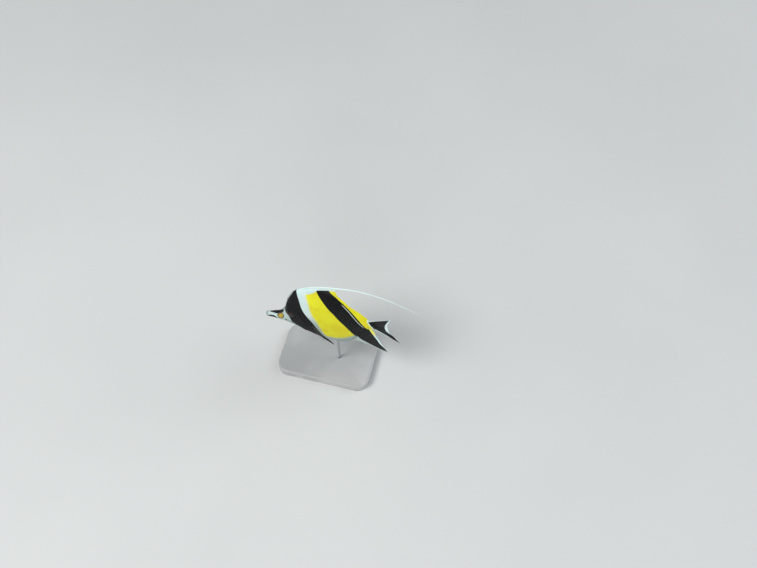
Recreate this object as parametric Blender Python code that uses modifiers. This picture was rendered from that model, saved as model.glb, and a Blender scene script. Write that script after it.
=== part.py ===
"""A moorish idol (Zanclus cornutus), life size, swimming nose down on a plain display stand.

The fish is modelled straight, in its own frame: x from the jaw bone's tip to the tail, y to its right, z up.
Its forms are written in shares of the standard length, from the jaw bone's tip to the root of the tail fin.
The soft lips reach a little in front of that tip.
Each finished piece is bent over the tail stalk, and hangs from one empty that pitches and lifts the fish.
In the scene the head points along -X, the left side along -Y, and the base stands on the plane Z = 0.
"""

import math

import bmesh
import bpy
import numpy as np
from mathutils import Vector

# Driving dimensions, in metres and radians
STANDARD_LENGTH = 0.130
SL = STANDARD_LENGTH
GAP = 0.0003
PITCH = math.radians(11.0)
TAIL_SWING = math.radians(7.5)
BEND_START, BEND_END = 0.60, 1.00
BODY_CENTRE = 0.54
AXIS_HEIGHT = 0.098

# Stand, in metres, with the rod's place along the belly as a share of the standard length
BASE_LENGTH, BASE_WIDTH, BASE_THICKNESS = 0.112, 0.068, 0.010
BASE_CORNER, BASE_EDGE, CORNER_SEGMENTS, EDGE_SEGMENTS = 0.014, 0.0012, 8, 2
ROD_DIAMETER, ROD_SIDES = 0.003, 20
ROD_PLACE = 0.578
ROD_IN_BASE, ROD_IN_BODY = 0.006, 0.0055

# Body stations: place, top, bottom, half width, and how much the section narrows towards its keels
STATIONS = (
    (-0.016, -0.0240, -0.0440, 0.0100, 1.00),
    (-0.007, -0.0090, -0.0590, 0.0190, 1.00),
    (0.006, -0.0020, -0.0650, 0.0220, 1.00),
    (0.022, 0.0005, -0.0685, 0.0225, 1.00),
    (0.060, 0.0090, -0.0770, 0.0260, 1.00),
    (0.120, 0.0265, -0.0930, 0.0325, 1.00),
    (0.168, 0.0590, -0.1070, 0.0410, 1.05),
    (0.200, 0.1110, -0.1240, 0.0500, 1.12),
    (0.250, 0.2160, -0.1600, 0.0650, 1.22),
    (0.320, 0.3340, -0.2240, 0.0790, 1.33),
    (0.410, 0.4060, -0.2970, 0.0870, 1.40),
    (0.520, 0.4260, -0.3600, 0.0850, 1.40),
    (0.620, 0.3960, -0.3690, 0.0720, 1.40),
    (0.740, 0.2980, -0.3020, 0.0540, 1.40),
    (0.860, 0.1600, -0.1440, 0.0350, 1.35),
    (0.950, 0.0680, -0.0620, 0.0205, 1.25),
    (1.000, 0.0560, -0.0520, 0.0150, 1.20),
)
SECTION_POINTS = 32
# Stretches of the loft: from, to, and how many rings
STRETCHES = (
    (STATIONS[0][0], 0.06, 9),
    (0.06, 0.168, 5),
    (0.168, 0.34, 12),
    (0.34, 0.90, 22),
    (0.90, 1.0, 5),
)

# Where the body is parted; the gill line is a list of places (x, z)
JAW_CORNER, MOUTH_LEVEL = 0.050, -0.036
SNOUT_END = 0.160
GILL_LINE = (
    (0.300, -0.40),
    (0.335, -0.19),
    (0.378, -0.09),
    (0.392, 0.00),
    (0.378, 0.09),
    (0.362, 0.20),
    (0.366, 0.50),
)
GILL_LINE_POINTS = 25
TRUNK_END = 0.945
GILL_COVER_CENTRE, GILL_COVER_RADII, GILL_COVER_SIDES = (0.385, -0.035), (0.088, 0.125), 40
GILL_COVER_DEPTH = 0.052
# Zones that part the body reach past it: forward, back, and up and down in shares, sideways in metres
ZONE_FRONT, ZONE_REAR, ZONE_HEIGHT, ZONE_SIDE = -0.1, 1.2, 0.6, 0.05

# Head
EYE_PLACE, EYE_RADIUS, EYE_HALF_DEPTH, EYE_BULGE = (0.276, 0.098), 0.042, 0.026, 0.010
NOSTRILS, NOSTRIL_RADIUS = ((0.214, 0.100), (0.228, 0.110)), 0.0045
HORN_PLACE, HORN_LENGTH, HORN_RADIUS = (0.240, 0.152), 0.034, 0.010
HORN_LEAN = (-0.55, 0.62, 0.55)
HORN_SINK = 0.80
EYE_SEGMENTS, EYE_RINGS, NOSTRIL_SEGMENTS, NOSTRIL_RINGS, HORN_SIDES = 20, 12, 8, 6, 12

# Fins: thicknesses in metres, the rest in shares of the standard length
MEMBRANE, RAY, LEADING_RAY, TIP_THICKNESS = 0.0006, 0.0010, 0.0016, 0.00045
ROOT_SINK = 0.014
# A ray's thickness at its tip as a share of its root's, how its bow gathers towards its root,
# and how fast the bow dies away from the first ray to the last
RAY_TIP_SHARE, BOW_GATHER, BOW_FADE = 0.55, 0.5, 2
MEDIAN_ROWS = 11
DORSAL_ROOT, DORSAL_RAYS, DORSAL_BOW = (0.392, 0.935), 22, 0.085
DORSAL_TIPS = (
    (0.00, 0.800, 0.488),
    (0.12, 0.744, 0.440),
    (0.30, 0.752, 0.366),
    (0.55, 0.803, 0.272),
    (0.80, 0.876, 0.180),
    (1.00, 0.955, 0.092),
)
ANAL_ROOT, ANAL_RAYS, ANAL_BOW = (0.728, 0.935), 17, 0.012
ANAL_TIPS = (
    (0.00, 1.050, -0.424),
    (0.20, 1.023, -0.338),
    (0.50, 0.994, -0.236),
    (0.80, 0.980, -0.136),
    (1.00, 0.964, -0.082),
)
SHORT_SPINES = ((0.398, 0.026), (0.406, 0.048))
SHORT_SPINE_RADIUS, SHORT_SPINE_LEAN, SHORT_SPINE_SIDES = 0.007, (0.88, 0.48), 8
FILAMENT = ((0.800, 0.488), (0.980, 0.517), (1.200, 0.515), (1.460, 0.352))
FILAMENT_PARTS, FILAMENT_POINTS = 3, 9
FILAMENT_ROOT, FILAMENT_TIP, FILAMENT_FLATNESS = 0.0024, 0.0006, 0.5
FILAMENT_WAIST, FILAMENT_SWELL, FILAMENT_TAPER, FILAMENT_SAMPLES = 0.6, 0.06, 0.8, 200
TAIL_ROOT, TAIL_NOTCH, TAIL_RAYS, TAIL_ROWS = 0.985, 1.122, 14, 9
UPPER_LOBE, LOWER_LOBE, TAIL_FORK, TAIL_ROOT_SHARE = (1.184, 0.167), (1.206, -0.190), 1.8, 0.86
PECTORAL_ROOT, PECTORAL_ROOT_WIDTH, PECTORAL_LENGTH = (0.425, -0.020), 0.038, 0.205
PECTORAL_RAYS, PECTORAL_FAN = 11, math.radians(27)
PECTORAL_OUT, PECTORAL_DOWN, PECTORAL_LEAN, PECTORAL_CUP = math.radians(33), math.radians(24), 0.25, 0.02
# The pectoral's longest ray, on a scale from -1 at its lower edge to 1 at its upper edge,
# and how much shorter the rays grow away from it and towards the lower edge
PECTORAL_LONGEST, PECTORAL_ROUNDING, PECTORAL_SLANT = 0.45, 0.34, 0.08
PELVIC_RAYS, PELVIC_RAY = 6, 0.0012
# How far the pelvic's inner ray lies towards the middle, and how its trailing edge is curved
PELVIC_INWARD, PELVIC_CURVE = 0.6, 1.5
PELVIC_ROOT, PELVIC_ROOT_SIDE = ((0.408, -0.276), (0.458, -0.309)), 0.016
PELVIC_TIPS, PELVIC_TIP_SIDE = ((0.548, -0.384), (0.505, -0.362)), 0.042
PAIRED_ROWS = 8

# Colours and roughness
COLOURS = {
    "black_skin": ((0.016, 0.017, 0.020), 0.45),
    "white_skin": ((0.800, 0.860, 0.850), 0.45),
    "yellow_skin": ((0.860, 0.780, 0.060), 0.45),
    "eye": ((0.020, 0.018, 0.016), 0.15),
    "clear_fin": ((0.620, 0.640, 0.560), 0.35),
    "grey_paint": ((0.420, 0.430, 0.430), 0.40),
    "steel": ((0.560, 0.570, 0.580), 0.30),
}
METALS = ("steel",)
SHARP_ANGLE = math.radians(40)
WELD = 1e-6


def smooth(table, place):
    """The table's later columns at the given places of its first, by monotone cubic pieces."""
    table = np.array(table, float)
    xs, ys = table[:, 0], table[:, 1:]
    place = np.clip(np.atleast_1d(np.asarray(place, float)), xs[0], xs[-1])
    step = np.diff(xs)[:, None]
    slope = np.diff(ys, axis=0) / step
    tangent = np.zeros_like(ys)
    tangent[0], tangent[-1] = slope[0], slope[-1]
    for k in range(1, len(xs) - 1):
        before, after = 2 * step[k] + step[k - 1], step[k] + 2 * step[k - 1]
        for column in np.flatnonzero(slope[k - 1] * slope[k] > 0):
            shares = before / slope[k - 1, column] + after / slope[k, column]
            tangent[k, column] = ((before + after) / shares)[0]
    i = np.clip(np.searchsorted(xs, place, side="right") - 1, 0, len(xs) - 2)
    h = step[i]
    t = (place[:, None] - xs[i][:, None]) / h
    rise = ys[i] * (2 * t**3 - 3 * t**2 + 1) + ys[i + 1] * (3 * t**2 - 2 * t**3)
    return rise + h * (tangent[i] * (t**3 - 2 * t**2 + t) + tangent[i + 1] * (t**3 - t**2))


def top_at(x):
    return smooth(STATIONS, x)[:, 0]


def bottom_at(x):
    return smooth(STATIONS, x)[:, 1]


def half_width_at(x, z):
    """Half the body's thickness in metres at a place in its side view."""
    top, bottom, half_width, keel = smooth(STATIONS, x)[0]
    height = (2 * z - top - bottom) / (top - bottom)
    return half_width * SL * max(0.0, 1 - height**2) ** (keel / 2)


def side_points(x, z):
    """Points of the fish's middle plane, in metres, from shares of its side view."""
    x, z = np.atleast_1d(x), np.atleast_1d(z)
    return np.stack([x * SL, np.zeros(len(x)), z * SL], axis=1)


def linked(name, mesh, collection):
    obj = bpy.data.objects.new(name, mesh)
    collection.objects.link(obj)
    return obj


def from_bmesh(name, work, collection):
    """A new object from a bmesh whose closed surface is turned to face out."""
    bmesh.ops.recalc_face_normals(work, faces=work.faces)
    mesh = bpy.data.meshes.new(name)
    work.to_mesh(mesh)
    work.free()
    return linked(name, mesh, collection)


def body_ring(x, grow):
    """Points round the body at x, in metres, with the body grown by that many metres all round."""
    top, bottom, half_width, keel = smooth(STATIONS, x)[0]
    angle = (np.arange(SECTION_POINTS) + 0.5) * 2 * math.pi / SECTION_POINTS
    side = np.sign(np.cos(angle)) * np.abs(np.cos(angle)) ** keel
    y = side * (half_width * SL + grow)
    z = (top + bottom) / 2 * SL + np.sin(angle) * ((top - bottom) / 2 * SL + grow)
    return [(x * SL, *place) for place in zip(y, z)]


def body_loft(name, collection, grow=0.0):
    """The whole body without its fins, lofted through rings and closed at both ends."""
    places = [x for start, end, count in STRETCHES for x in np.linspace(start, end, count, endpoint=False)]
    work = bmesh.new()
    rings = [[work.verts.new(point) for point in body_ring(x, grow)] for x in [*places, 1.0]]
    for ring, push in ((rings[0], -grow), (rings[-1], grow)):
        bmesh.ops.translate(work, verts=ring, vec=(push, 0, 0))
        work.faces.new(ring)
    for ring, following in zip(rings, rings[1:]):
        for k in range(SECTION_POINTS):
            j = (k + 1) % SECTION_POINTS
            work.faces.new((ring[k], ring[j], following[j], following[k]))
    return from_bmesh(name, work, collection)


def prism(name, outline, low_y, high_y, collection):
    """An outline of the side view, made solid between two values of y in metres."""
    work = bmesh.new()
    face = work.faces.new([work.verts.new((x * SL, low_y, z * SL)) for x, z in outline])
    made = bmesh.ops.extrude_face_region(work, geom=[face])
    moved = [v for v in made["geom"] if isinstance(v, bmesh.types.BMVert)]
    bmesh.ops.translate(work, verts=moved, vec=(0, high_y - low_y, 0))
    return from_bmesh(name, work, collection)


def ellipsoid(name, centre, radii, segments, rings, collection):
    """A sphere stretched to its radii, with its poles along y and its origin at its centre."""
    work = bmesh.new()
    bmesh.ops.create_uvsphere(work, u_segments=segments, v_segments=rings, radius=1.0)
    for v in work.verts:
        v.co = (v.co.x * radii[0], v.co.z * radii[1], -v.co.y * radii[2])
    obj = from_bmesh(name, work, collection)
    obj.location = centre
    return obj


def cone(name, root, tip, root_radius, tip_radius, sides, collection):
    """A straight tapered solid with its origin at its root and its own Z axis towards its tip."""
    along = Vector(tip) - Vector(root)
    work = bmesh.new()
    bmesh.ops.create_cone(
        work, cap_ends=True, segments=sides, radius1=root_radius, radius2=tip_radius, depth=along.length
    )
    bmesh.ops.translate(work, verts=work.verts, vec=(0, 0, along.length / 2))
    obj = from_bmesh(name, work, collection)
    obj.location = root
    obj.rotation_euler = along.to_track_quat("Z", "Y").to_euler()
    return obj


def copy_of(obj, name, collection):
    return linked(name, obj.data.copy(), collection)


def combine(obj, operation, others, solver="EXACT"):
    """Joins, cuts or intersects obj with each of the others, applies that, and keeps its largest surface."""
    for other in others:
        modifier = obj.modifiers.new(other.name, "BOOLEAN")
        modifier.operation = operation
        modifier.object = other
        modifier.solver = solver
    bpy.context.view_layer.update()
    graph = bpy.context.evaluated_depsgraph_get()
    mesh = bpy.data.meshes.new_from_object(obj.evaluated_get(graph))
    obj.modifiers.clear()
    obj.data = mesh
    keep_largest(obj)
    return obj


def keep_largest(obj):
    """Drops every loose scrap that a cut has left beside the object's main surface."""
    work = bmesh.new()
    work.from_mesh(obj.data)
    left, surfaces = set(work.verts), []
    while left:
        surface, edge_of_search = set(), [left.pop()]
        while edge_of_search:
            vertex = edge_of_search.pop()
            surface.add(vertex)
            near = {edge.other_vert(vertex) for edge in vertex.link_edges} & left
            left -= near
            edge_of_search += near
        surfaces.append(surface)
    surfaces.sort(key=len)
    scraps = [vertex for surface in surfaces[:-1] for vertex in surface]
    bmesh.ops.delete(work, geom=scraps, context="VERTS")
    work.to_mesh(obj.data)
    work.free()


def fin_sheet(name, middle, thickness, collection):
    """An open sheet through a grid of points, given the grid's thicknesses by Solidify."""
    columns, rows = thickness.shape
    work = bmesh.new()
    bmesh.ops.create_grid(work, x_segments=columns - 1, y_segments=rows - 1, size=1)
    share = (thickness - thickness.min()) / np.ptp(thickness)
    weights = []
    for v in work.verts:
        column, row = round((v.co.x + 1) / 2 * (columns - 1)), round((v.co.y + 1) / 2 * (rows - 1))
        v.co = middle[column, row]
        weights.append(share[column, row])
    bmesh.ops.triangulate(work, faces=work.faces, quad_method="FIXED")
    obj = from_bmesh(name, work, collection)
    group = obj.vertex_groups.new(name="rays")
    for index, weight in enumerate(weights):
        group.add([index], weight, "REPLACE")
    solidify = obj.modifiers.new("thickness", "SOLIDIFY")
    solidify.thickness = thickness.max()
    solidify.offset = 0
    solidify.vertex_group = group.name
    solidify.thickness_vertex_group = thickness.min() / thickness.max()
    return obj


def along_rays(roots, tips, rows, bow=None):
    """Grid of points on rays from roots to tips. Each ray is bowed by its vector, most near its root."""
    v = np.linspace(0, 1, rows)[None, :, None]
    grid = roots[:, None, :] * (1 - v) + tips[:, None, :] * v
    return grid if bow is None else grid + bow[:, None, :] * v**BOW_GATHER * (1 - v)


def ray_thickness(columns, rows):
    """Thickness grid with a ray on every other column, thinning towards the tips."""
    across = np.where(np.arange(columns) % 2 == 0, RAY, MEMBRANE)[:, None]
    taper = 1 - (1 - RAY_TIP_SHARE) * np.linspace(0, 1, rows)[None, :] ** 2
    return np.maximum(across * taper, TIP_THICKNESS)


def median_fin(name, root_x, root_z, tips, bow, rays, collection):
    """A fin of the middle plane, its root sunk in the body and its first ray the stoutest."""
    columns = 2 * rays - 1
    u = np.linspace(0, 1, columns)
    tip_places = smooth(tips, u)
    bows = side_points(np.zeros(columns), bow * (1 - u) ** BOW_FADE)
    middle = along_rays(side_points(root_x, root_z), side_points(*tip_places.T), MEDIAN_ROWS, bows)
    thickness = ray_thickness(columns, MEDIAN_ROWS)
    thickness[0] *= LEADING_RAY / RAY
    return fin_sheet(name, middle, thickness, collection)


def dorsal_fin(fish, tools):
    x = np.linspace(*DORSAL_ROOT, 2 * DORSAL_RAYS - 1)
    fin = median_fin("dorsal_fin", x, top_at(x) - ROOT_SINK, DORSAL_TIPS, DORSAL_BOW, DORSAL_RAYS, fish)
    spines = []
    for place, height in SHORT_SPINES:
        level = top_at(place)[0]
        root = side_points(place, level - ROOT_SINK)[0]
        tip = side_points(place + height * SHORT_SPINE_LEAN[0], level + height * SHORT_SPINE_LEAN[1])[0]
        radius, end_radius = SHORT_SPINE_RADIUS * SL, TIP_THICKNESS / 2
        spines.append(cone(f"spine_{place}", root, tip, radius, end_radius, SHORT_SPINE_SIDES, tools))
    return combine(fin, "UNION", spines)


def anal_fin(fish):
    x = np.linspace(*ANAL_ROOT, 2 * ANAL_RAYS - 1)
    return median_fin("anal_fin", x, bottom_at(x) + ROOT_SINK, ANAL_TIPS, ANAL_BOW, ANAL_RAYS, fish)


def tail_fin(fish):
    """A forked fan, with a stout ray along its upper and lower edges."""
    columns = 2 * TAIL_RAYS - 1
    spread = np.linspace(-1, 1, columns)
    above = spread > 0
    root_z = np.abs(spread) * np.where(above, top_at(TAIL_ROOT), bottom_at(TAIL_ROOT)) * TAIL_ROOT_SHARE
    roots = side_points(np.full(columns, TAIL_ROOT), root_z)
    lobe_x, lobe_z = (np.where(above, *pair) for pair in zip(UPPER_LOBE, LOWER_LOBE))
    tip_x = TAIL_NOTCH + (lobe_x - TAIL_NOTCH) * np.abs(spread) ** TAIL_FORK
    tips = side_points(tip_x, np.abs(spread) * lobe_z)
    thickness = ray_thickness(columns, TAIL_ROWS)
    thickness[[0, -1]] *= LEADING_RAY / RAY
    return fin_sheet("tail_fin", along_rays(roots, tips, TAIL_ROWS), thickness, fish)


def pectoral_fin(word, side, fish):
    """A rounded fan behind the gill cover, held out from the flank and a little down."""
    columns = 2 * PECTORAL_RAYS - 1
    x, z = PECTORAL_ROOT
    centre = np.array([x * SL, side * (half_width_at(x, z) - ROOT_SINK / 2 * SL), z * SL])
    level = math.cos(PECTORAL_OUT)
    along = np.array(
        [level * math.cos(PECTORAL_DOWN), side * math.sin(PECTORAL_OUT), -level * math.sin(PECTORAL_DOWN)]
    )
    upward = np.array([math.sin(PECTORAL_DOWN), side * PECTORAL_LEAN, math.cos(PECTORAL_DOWN)])
    upward -= along * upward.dot(along)
    upward /= np.linalg.norm(upward)
    fan = np.linspace(1, -1, columns)
    away = (fan - PECTORAL_LONGEST) / (1 + PECTORAL_LONGEST)
    length = SL * PECTORAL_LENGTH * (1 - PECTORAL_ROUNDING * away**2 - PECTORAL_SLANT * (1 - fan))
    angle = fan[:, None] * PECTORAL_FAN
    roots = centre + fan[:, None] * upward * PECTORAL_ROOT_WIDTH * SL / 2
    tips = roots + (np.cos(angle) * along + np.sin(angle) * upward) * length[:, None]
    cup = np.tile(np.cross(along, upward) * side * SL * PECTORAL_CUP, (columns, 1))
    thickness = ray_thickness(columns, PAIRED_ROWS)
    return fin_sheet(f"pectoral_fin_{word}", along_rays(roots, tips, PAIRED_ROWS, cup), thickness, fish)


def pelvic_fin(word, side, fish):
    """A narrow pointed fin folded back under the belly."""
    columns = 2 * PELVIC_RAYS - 1
    u = np.linspace(0, 1, columns)[:, None]
    roots = side_points(*np.array(PELVIC_ROOT).T)
    roots = roots[:1] * (1 - u) + roots[1:] * u
    tips = side_points(*np.array(PELVIC_TIPS).T)
    tips = tips[:1] * (1 - u**PELVIC_CURVE) + tips[1:] * u**PELVIC_CURVE
    roots[:, 1] += side * PELVIC_ROOT_SIDE * SL * (1 - PELVIC_INWARD * u[:, 0])
    tips[:, 1] += side * PELVIC_TIP_SIDE * SL * (1 - PELVIC_INWARD * u[:, 0])
    thickness = ray_thickness(columns, PAIRED_ROWS)
    thickness[0] *= PELVIC_RAY / RAY
    return fin_sheet(f"pelvic_fin_{word}", along_rays(roots, tips, PAIRED_ROWS), thickness, fish)


def filament_line(shares):
    """Places on the filament's curve, at shares of its length, and that length in metres."""
    t = np.linspace(0, 1, FILAMENT_SAMPLES)[:, None]
    p0, p1, p2, p3 = np.array(FILAMENT)
    curve = p0 * (1 - t) ** 3 + 3 * p1 * t * (1 - t) ** 2 + 3 * p2 * t**2 * (1 - t) + p3 * t**3
    run = np.concatenate([[0], np.cumsum(np.linalg.norm(np.diff(curve, axis=0), axis=1))])
    x, z = (np.interp(np.asarray(shares) * run[-1], run, curve[:, k]) for k in (0, 1))
    return side_points(x, z), run[-1] * SL


def filament_part(index, fish):
    """One length of the dorsal filament: a tapered curve made mesh and flattened from side to side."""
    name = f"dorsal_filament_{index + 1}"
    half_gap = GAP / 2 / filament_line([0])[1]
    start, end = index / FILAMENT_PARTS + half_gap, (index + 1) / FILAMENT_PARTS - half_gap
    shares = np.linspace(start + (half_gap if index == 0 else 0), end, FILAMENT_POINTS)
    data = bpy.data.curves.new(name, "CURVE")
    data.dimensions = "3D"
    data.bevel_depth = 0.5
    data.bevel_resolution = 2
    data.use_fill_caps = True
    spline = data.splines.new("POLY")
    spline.points.add(FILAMENT_POINTS - 1)
    for point, place, share in zip(spline.points, filament_line(shares)[0], shares):
        point.co = (*place, 1.0)
        waist = min(1.0, FILAMENT_WAIST + (1 - FILAMENT_WAIST) * share / FILAMENT_SWELL)
        point.radius = waist * (FILAMENT_ROOT + (FILAMENT_TIP - FILAMENT_ROOT) * share**FILAMENT_TAPER)
    curve = linked(name, data, fish)
    bpy.context.view_layer.update()
    mesh = bpy.data.meshes.new_from_object(curve.evaluated_get(bpy.context.evaluated_depsgraph_get()))
    bpy.data.objects.remove(curve)
    work = bmesh.new()
    work.from_mesh(mesh)
    bpy.data.meshes.remove(mesh)
    bmesh.ops.remove_doubles(work, verts=work.verts, dist=WELD)
    for v in work.verts:
        v.co.y *= FILAMENT_FLATNESS
    return from_bmesh(name, work, fish)


def bend_tail(obj):
    """Bends a straight piece to the fish's left, in an arc over the tail stalk and straight behind it."""
    start, curvature = BEND_START * SL, TAIL_SWING / ((BEND_END - BEND_START) * SL)
    for v in obj.data.vertices:
        x, y = v.co.x, v.co.y
        angle = min(max((x - start) * curvature, 0.0), TAIL_SWING)
        past = max(x - BEND_END * SL, 0.0)
        sine, cosine = math.sin(angle), math.cos(angle)
        v.co.x = min(x, start) + sine / curvature + past * math.cos(TAIL_SWING) + y * sine
        v.co.y = -(1 - cosine) / curvature - past * math.sin(TAIL_SWING) + y * cosine


def painted(obj, colour):
    material = bpy.data.materials.get(colour) or bpy.data.materials.new(colour)
    material.use_nodes = True
    shader = material.node_tree.nodes["Principled BSDF"]
    shader.inputs["Base Color"].default_value = (*COLOURS[colour][0], 1)
    shader.inputs["Roughness"].default_value = COLOURS[colour][1]
    shader.inputs["Metallic"].default_value = 1.0 if colour in METALS else 0.0
    obj.data.materials.clear()
    obj.data.materials.append(material)
    obj.data.shade_smooth()
    obj.data.set_sharp_from_angle(angle=SHARP_ANGLE)


def gill_line(shift):
    z = np.linspace(GILL_LINE[0][1], GILL_LINE[-1][1], GILL_LINE_POINTS)
    x = smooth([(level, place) for place, level in GILL_LINE], z)[:, 0] + shift
    return list(zip(x, z))


def gill_cover_outline(grow=0.0):
    turn = np.arange(GILL_COVER_SIDES) * 2 * math.pi / GILL_COVER_SIDES
    x = GILL_COVER_CENTRE[0] + (GILL_COVER_RADII[0] + grow) * np.cos(turn)
    z = GILL_COVER_CENTRE[1] + (GILL_COVER_RADII[1] + grow) * np.sin(turn)
    return list(zip(x, z))


def part_body(fish, tools):
    """Snout, lower jaw, head, trunk and tail stalk, parted from one loft by zones a gap apart."""
    whole = body_loft("whole", tools)
    far, gap = ZONE_HEIGHT, GAP / SL

    def zone(name, *outline):
        return prism(name, outline, -ZONE_SIDE, ZONE_SIDE, tools)

    def box(name, left, right, low, high):
        return zone(name, (left, low), (right, low), (right, high), (left, high))

    head_rear, trunk_front = gill_line(-gap / 2), gill_line(gap / 2)
    head_front = SNOUT_END + gap
    zones = {
        "lower_jaw": box("jaw_zone", ZONE_FRONT, JAW_CORNER, -far, MOUTH_LEVEL),
        "snout": box("snout_zone", ZONE_FRONT, SNOUT_END, -far, far),
        "head": zone("head_zone", (head_front, head_rear[0][1]), *head_rear, (head_front, head_rear[-1][1])),
        "trunk": zone("trunk_zone", (TRUNK_END, -far), *trunk_front, (TRUNK_END, far)),
        "tail_stalk": box("stalk_zone", TRUNK_END + gap, ZONE_REAR, -far, far),
    }
    pieces = {name: combine(copy_of(whole, name, fish), "INTERSECT", [cut]) for name, cut in zones.items()}
    jaw_room = box("jaw_room", ZONE_FRONT * 2, JAW_CORNER + gap, -far, MOUTH_LEVEL + gap)
    combine(pieces["snout"], "DIFFERENCE", [jaw_room])
    return pieces


def add_sides_of_head(head, fish, tools):
    """Gill covers, eyes, horns and nostrils, on both sides of the head; returns them by colour."""
    depth, reach = GILL_COVER_DEPTH * SL, ZONE_SIDE
    made = {"black_skin": [], "eye": []}
    for side, word in ((-1, "left"), (1, "right")):
        plate = prism(f"plate_{word}", gill_cover_outline(), *sorted((side * depth, side * reach)), tools)
        cover = combine(copy_of(head, f"gill_cover_{word}", fish), "INTERSECT", [plate])
        inner = sorted((side * (depth - GAP), side * reach))
        room = prism(f"room_{word}", gill_cover_outline(GAP / SL), *inner, tools)

        x, z = EYE_PLACE
        centre = Vector((x * SL, side * (half_width_at(x, z) + (EYE_BULGE - EYE_HALF_DEPTH) * SL), z * SL))
        radii = np.array([EYE_RADIUS, EYE_HALF_DEPTH, EYE_RADIUS]) * SL
        eye = ellipsoid(f"eye_{word}", centre, radii, EYE_SEGMENTS, EYE_RINGS, fish)
        socket = ellipsoid(f"socket_{word}", centre, radii + GAP, EYE_SEGMENTS, EYE_RINGS, tools)

        pits = []
        for x, z in NOSTRILS:
            place, radius = (x * SL, side * half_width_at(x, z), z * SL), np.full(3, NOSTRIL_RADIUS * SL)
            pit = ellipsoid(f"pit_{word}_{x}", place, radius, NOSTRIL_SEGMENTS, NOSTRIL_RINGS, tools)
            pits.append(pit)
        combine(head, "DIFFERENCE", [room, socket, *pits])

        x, z = HORN_PLACE
        root = Vector((x * SL, side * half_width_at(x, z) * HORN_SINK, z * SL))
        lean = Vector((HORN_LEAN[0], side * HORN_LEAN[1], HORN_LEAN[2])).normalized()
        tip = root + lean * HORN_LENGTH * SL
        horn = cone(f"horn_{word}", root, tip, HORN_RADIUS * SL, TIP_THICKNESS / 2, HORN_SIDES, fish)
        made["black_skin"] += [cover, horn]
        made["eye"].append(eye)
    return made


def stand(fish, tools, trunk, pose):
    """A flat rounded base and an upright rod, set in a hole in the base and one in the belly."""
    belly = Vector((ROD_PLACE * SL, 0.0, bottom_at(ROD_PLACE)[0] * SL))
    foot = pose.matrix_world @ belly
    low, high = BASE_THICKNESS - ROD_IN_BASE, foot.z + ROD_IN_BODY
    radius, room = ROD_DIAMETER / 2, ROD_DIAMETER / 2 + GAP

    def upright(name, start, end, size, collection):
        return cone(name, (foot.x, foot.y, start), (foot.x, foot.y, end), size, size, ROD_SIDES, collection)

    rod = upright("stand_rod", low + GAP, high, radius, fish)
    combine(trunk, "DIFFERENCE", [upright("belly_hole", foot.z - ROD_IN_BODY, high + GAP, room, tools)])

    bpy.ops.mesh.primitive_cube_add(size=1)
    base = bpy.context.active_object
    base.name = base.data.name = "stand_base"
    base.users_collection[0].objects.unlink(base)
    fish.objects.link(base)
    base.location.z = BASE_THICKNESS / 2
    for v in base.data.vertices:
        v.co = (v.co.x * BASE_LENGTH, v.co.y * BASE_WIDTH, v.co.z * BASE_THICKNESS)
    work = bmesh.new()
    work.from_mesh(base.data)
    corners = [e for e in work.edges if abs(e.verts[0].co.z - e.verts[1].co.z) > BASE_THICKNESS / 2]
    rounded = {"profile": 0.5, "affect": "EDGES"}
    bmesh.ops.bevel(work, geom=corners, offset=BASE_CORNER, segments=CORNER_SEGMENTS, **rounded)
    upper = [e for e in work.edges if min(v.co.z for v in e.verts) > BASE_THICKNESS / 2 - WELD]
    bmesh.ops.bevel(work, geom=upper, offset=BASE_EDGE, segments=EDGE_SEGMENTS, **rounded)
    work.to_mesh(base.data)
    work.free()
    combine(base, "DIFFERENCE", [upright("base_hole", low, BASE_THICKNESS + ROD_IN_BASE, room, tools)])
    painted(base, "grey_paint")
    painted(rod, "steel")


def main():
    for obj in list(bpy.data.objects):
        bpy.data.objects.remove(obj)
    fish = bpy.data.collections.new("moorish_idol")
    tools = bpy.data.collections.new("moorish_idol_cutters")
    for collection in (fish, tools):
        bpy.context.scene.collection.children.link(collection)

    body = part_body(fish, tools)
    sides = add_sides_of_head(body["head"], fish, tools)
    fins = {
        "white_skin": [dorsal_fin(fish, tools)],
        "black_skin": [anal_fin(fish), tail_fin(fish)],
        "clear_fin": [],
    }
    for side, word in ((-1, "left"), (1, "right")):
        fins["clear_fin"].append(pectoral_fin(word, side, fish))
        fins["black_skin"].append(pelvic_fin(word, side, fish))
    clear_of_body = body_loft("clear_of_body", tools, GAP)
    horns = [piece for piece in sides["black_skin"] if piece.name.startswith("horn")]
    for piece in [*sum(fins.values(), []), *horns]:
        # The exact solver loses the dorsal fin once its spines are joined to it
        solver = "MANIFOLD" if piece.name == "dorsal_fin" else "EXACT"
        combine(piece, "DIFFERENCE", [clear_of_body], solver)

    filament = [filament_part(k, fish) for k in range(FILAMENT_PARTS)]
    looks = {
        "white_skin": [body["snout"], *fins["white_skin"], *filament],
        "black_skin": [body["lower_jaw"], body["head"], *fins["black_skin"], *sides["black_skin"]],
        "yellow_skin": [body["trunk"], body["tail_stalk"]],
        "clear_fin": fins["clear_fin"],
        "eye": sides["eye"],
    }
    pose = bpy.data.objects.new("swimming_pose", None)
    fish.objects.link(pose)
    pose.rotation_euler.y = -PITCH
    pose.location.x = -BODY_CENTRE * SL * math.cos(PITCH)
    pose.location.z = AXIS_HEIGHT - BODY_CENTRE * SL * math.sin(PITCH)
    for colour, pieces in looks.items():
        for piece in pieces:
            bend_tail(piece)
            piece.parent = pose
            painted(piece, colour)
    bpy.context.view_layer.update()
    stand(fish, tools, body["trunk"], pose)
    for cutter in list(tools.objects):
        bpy.data.objects.remove(cutter)
    bpy.data.collections.remove(tools)


main()
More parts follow.
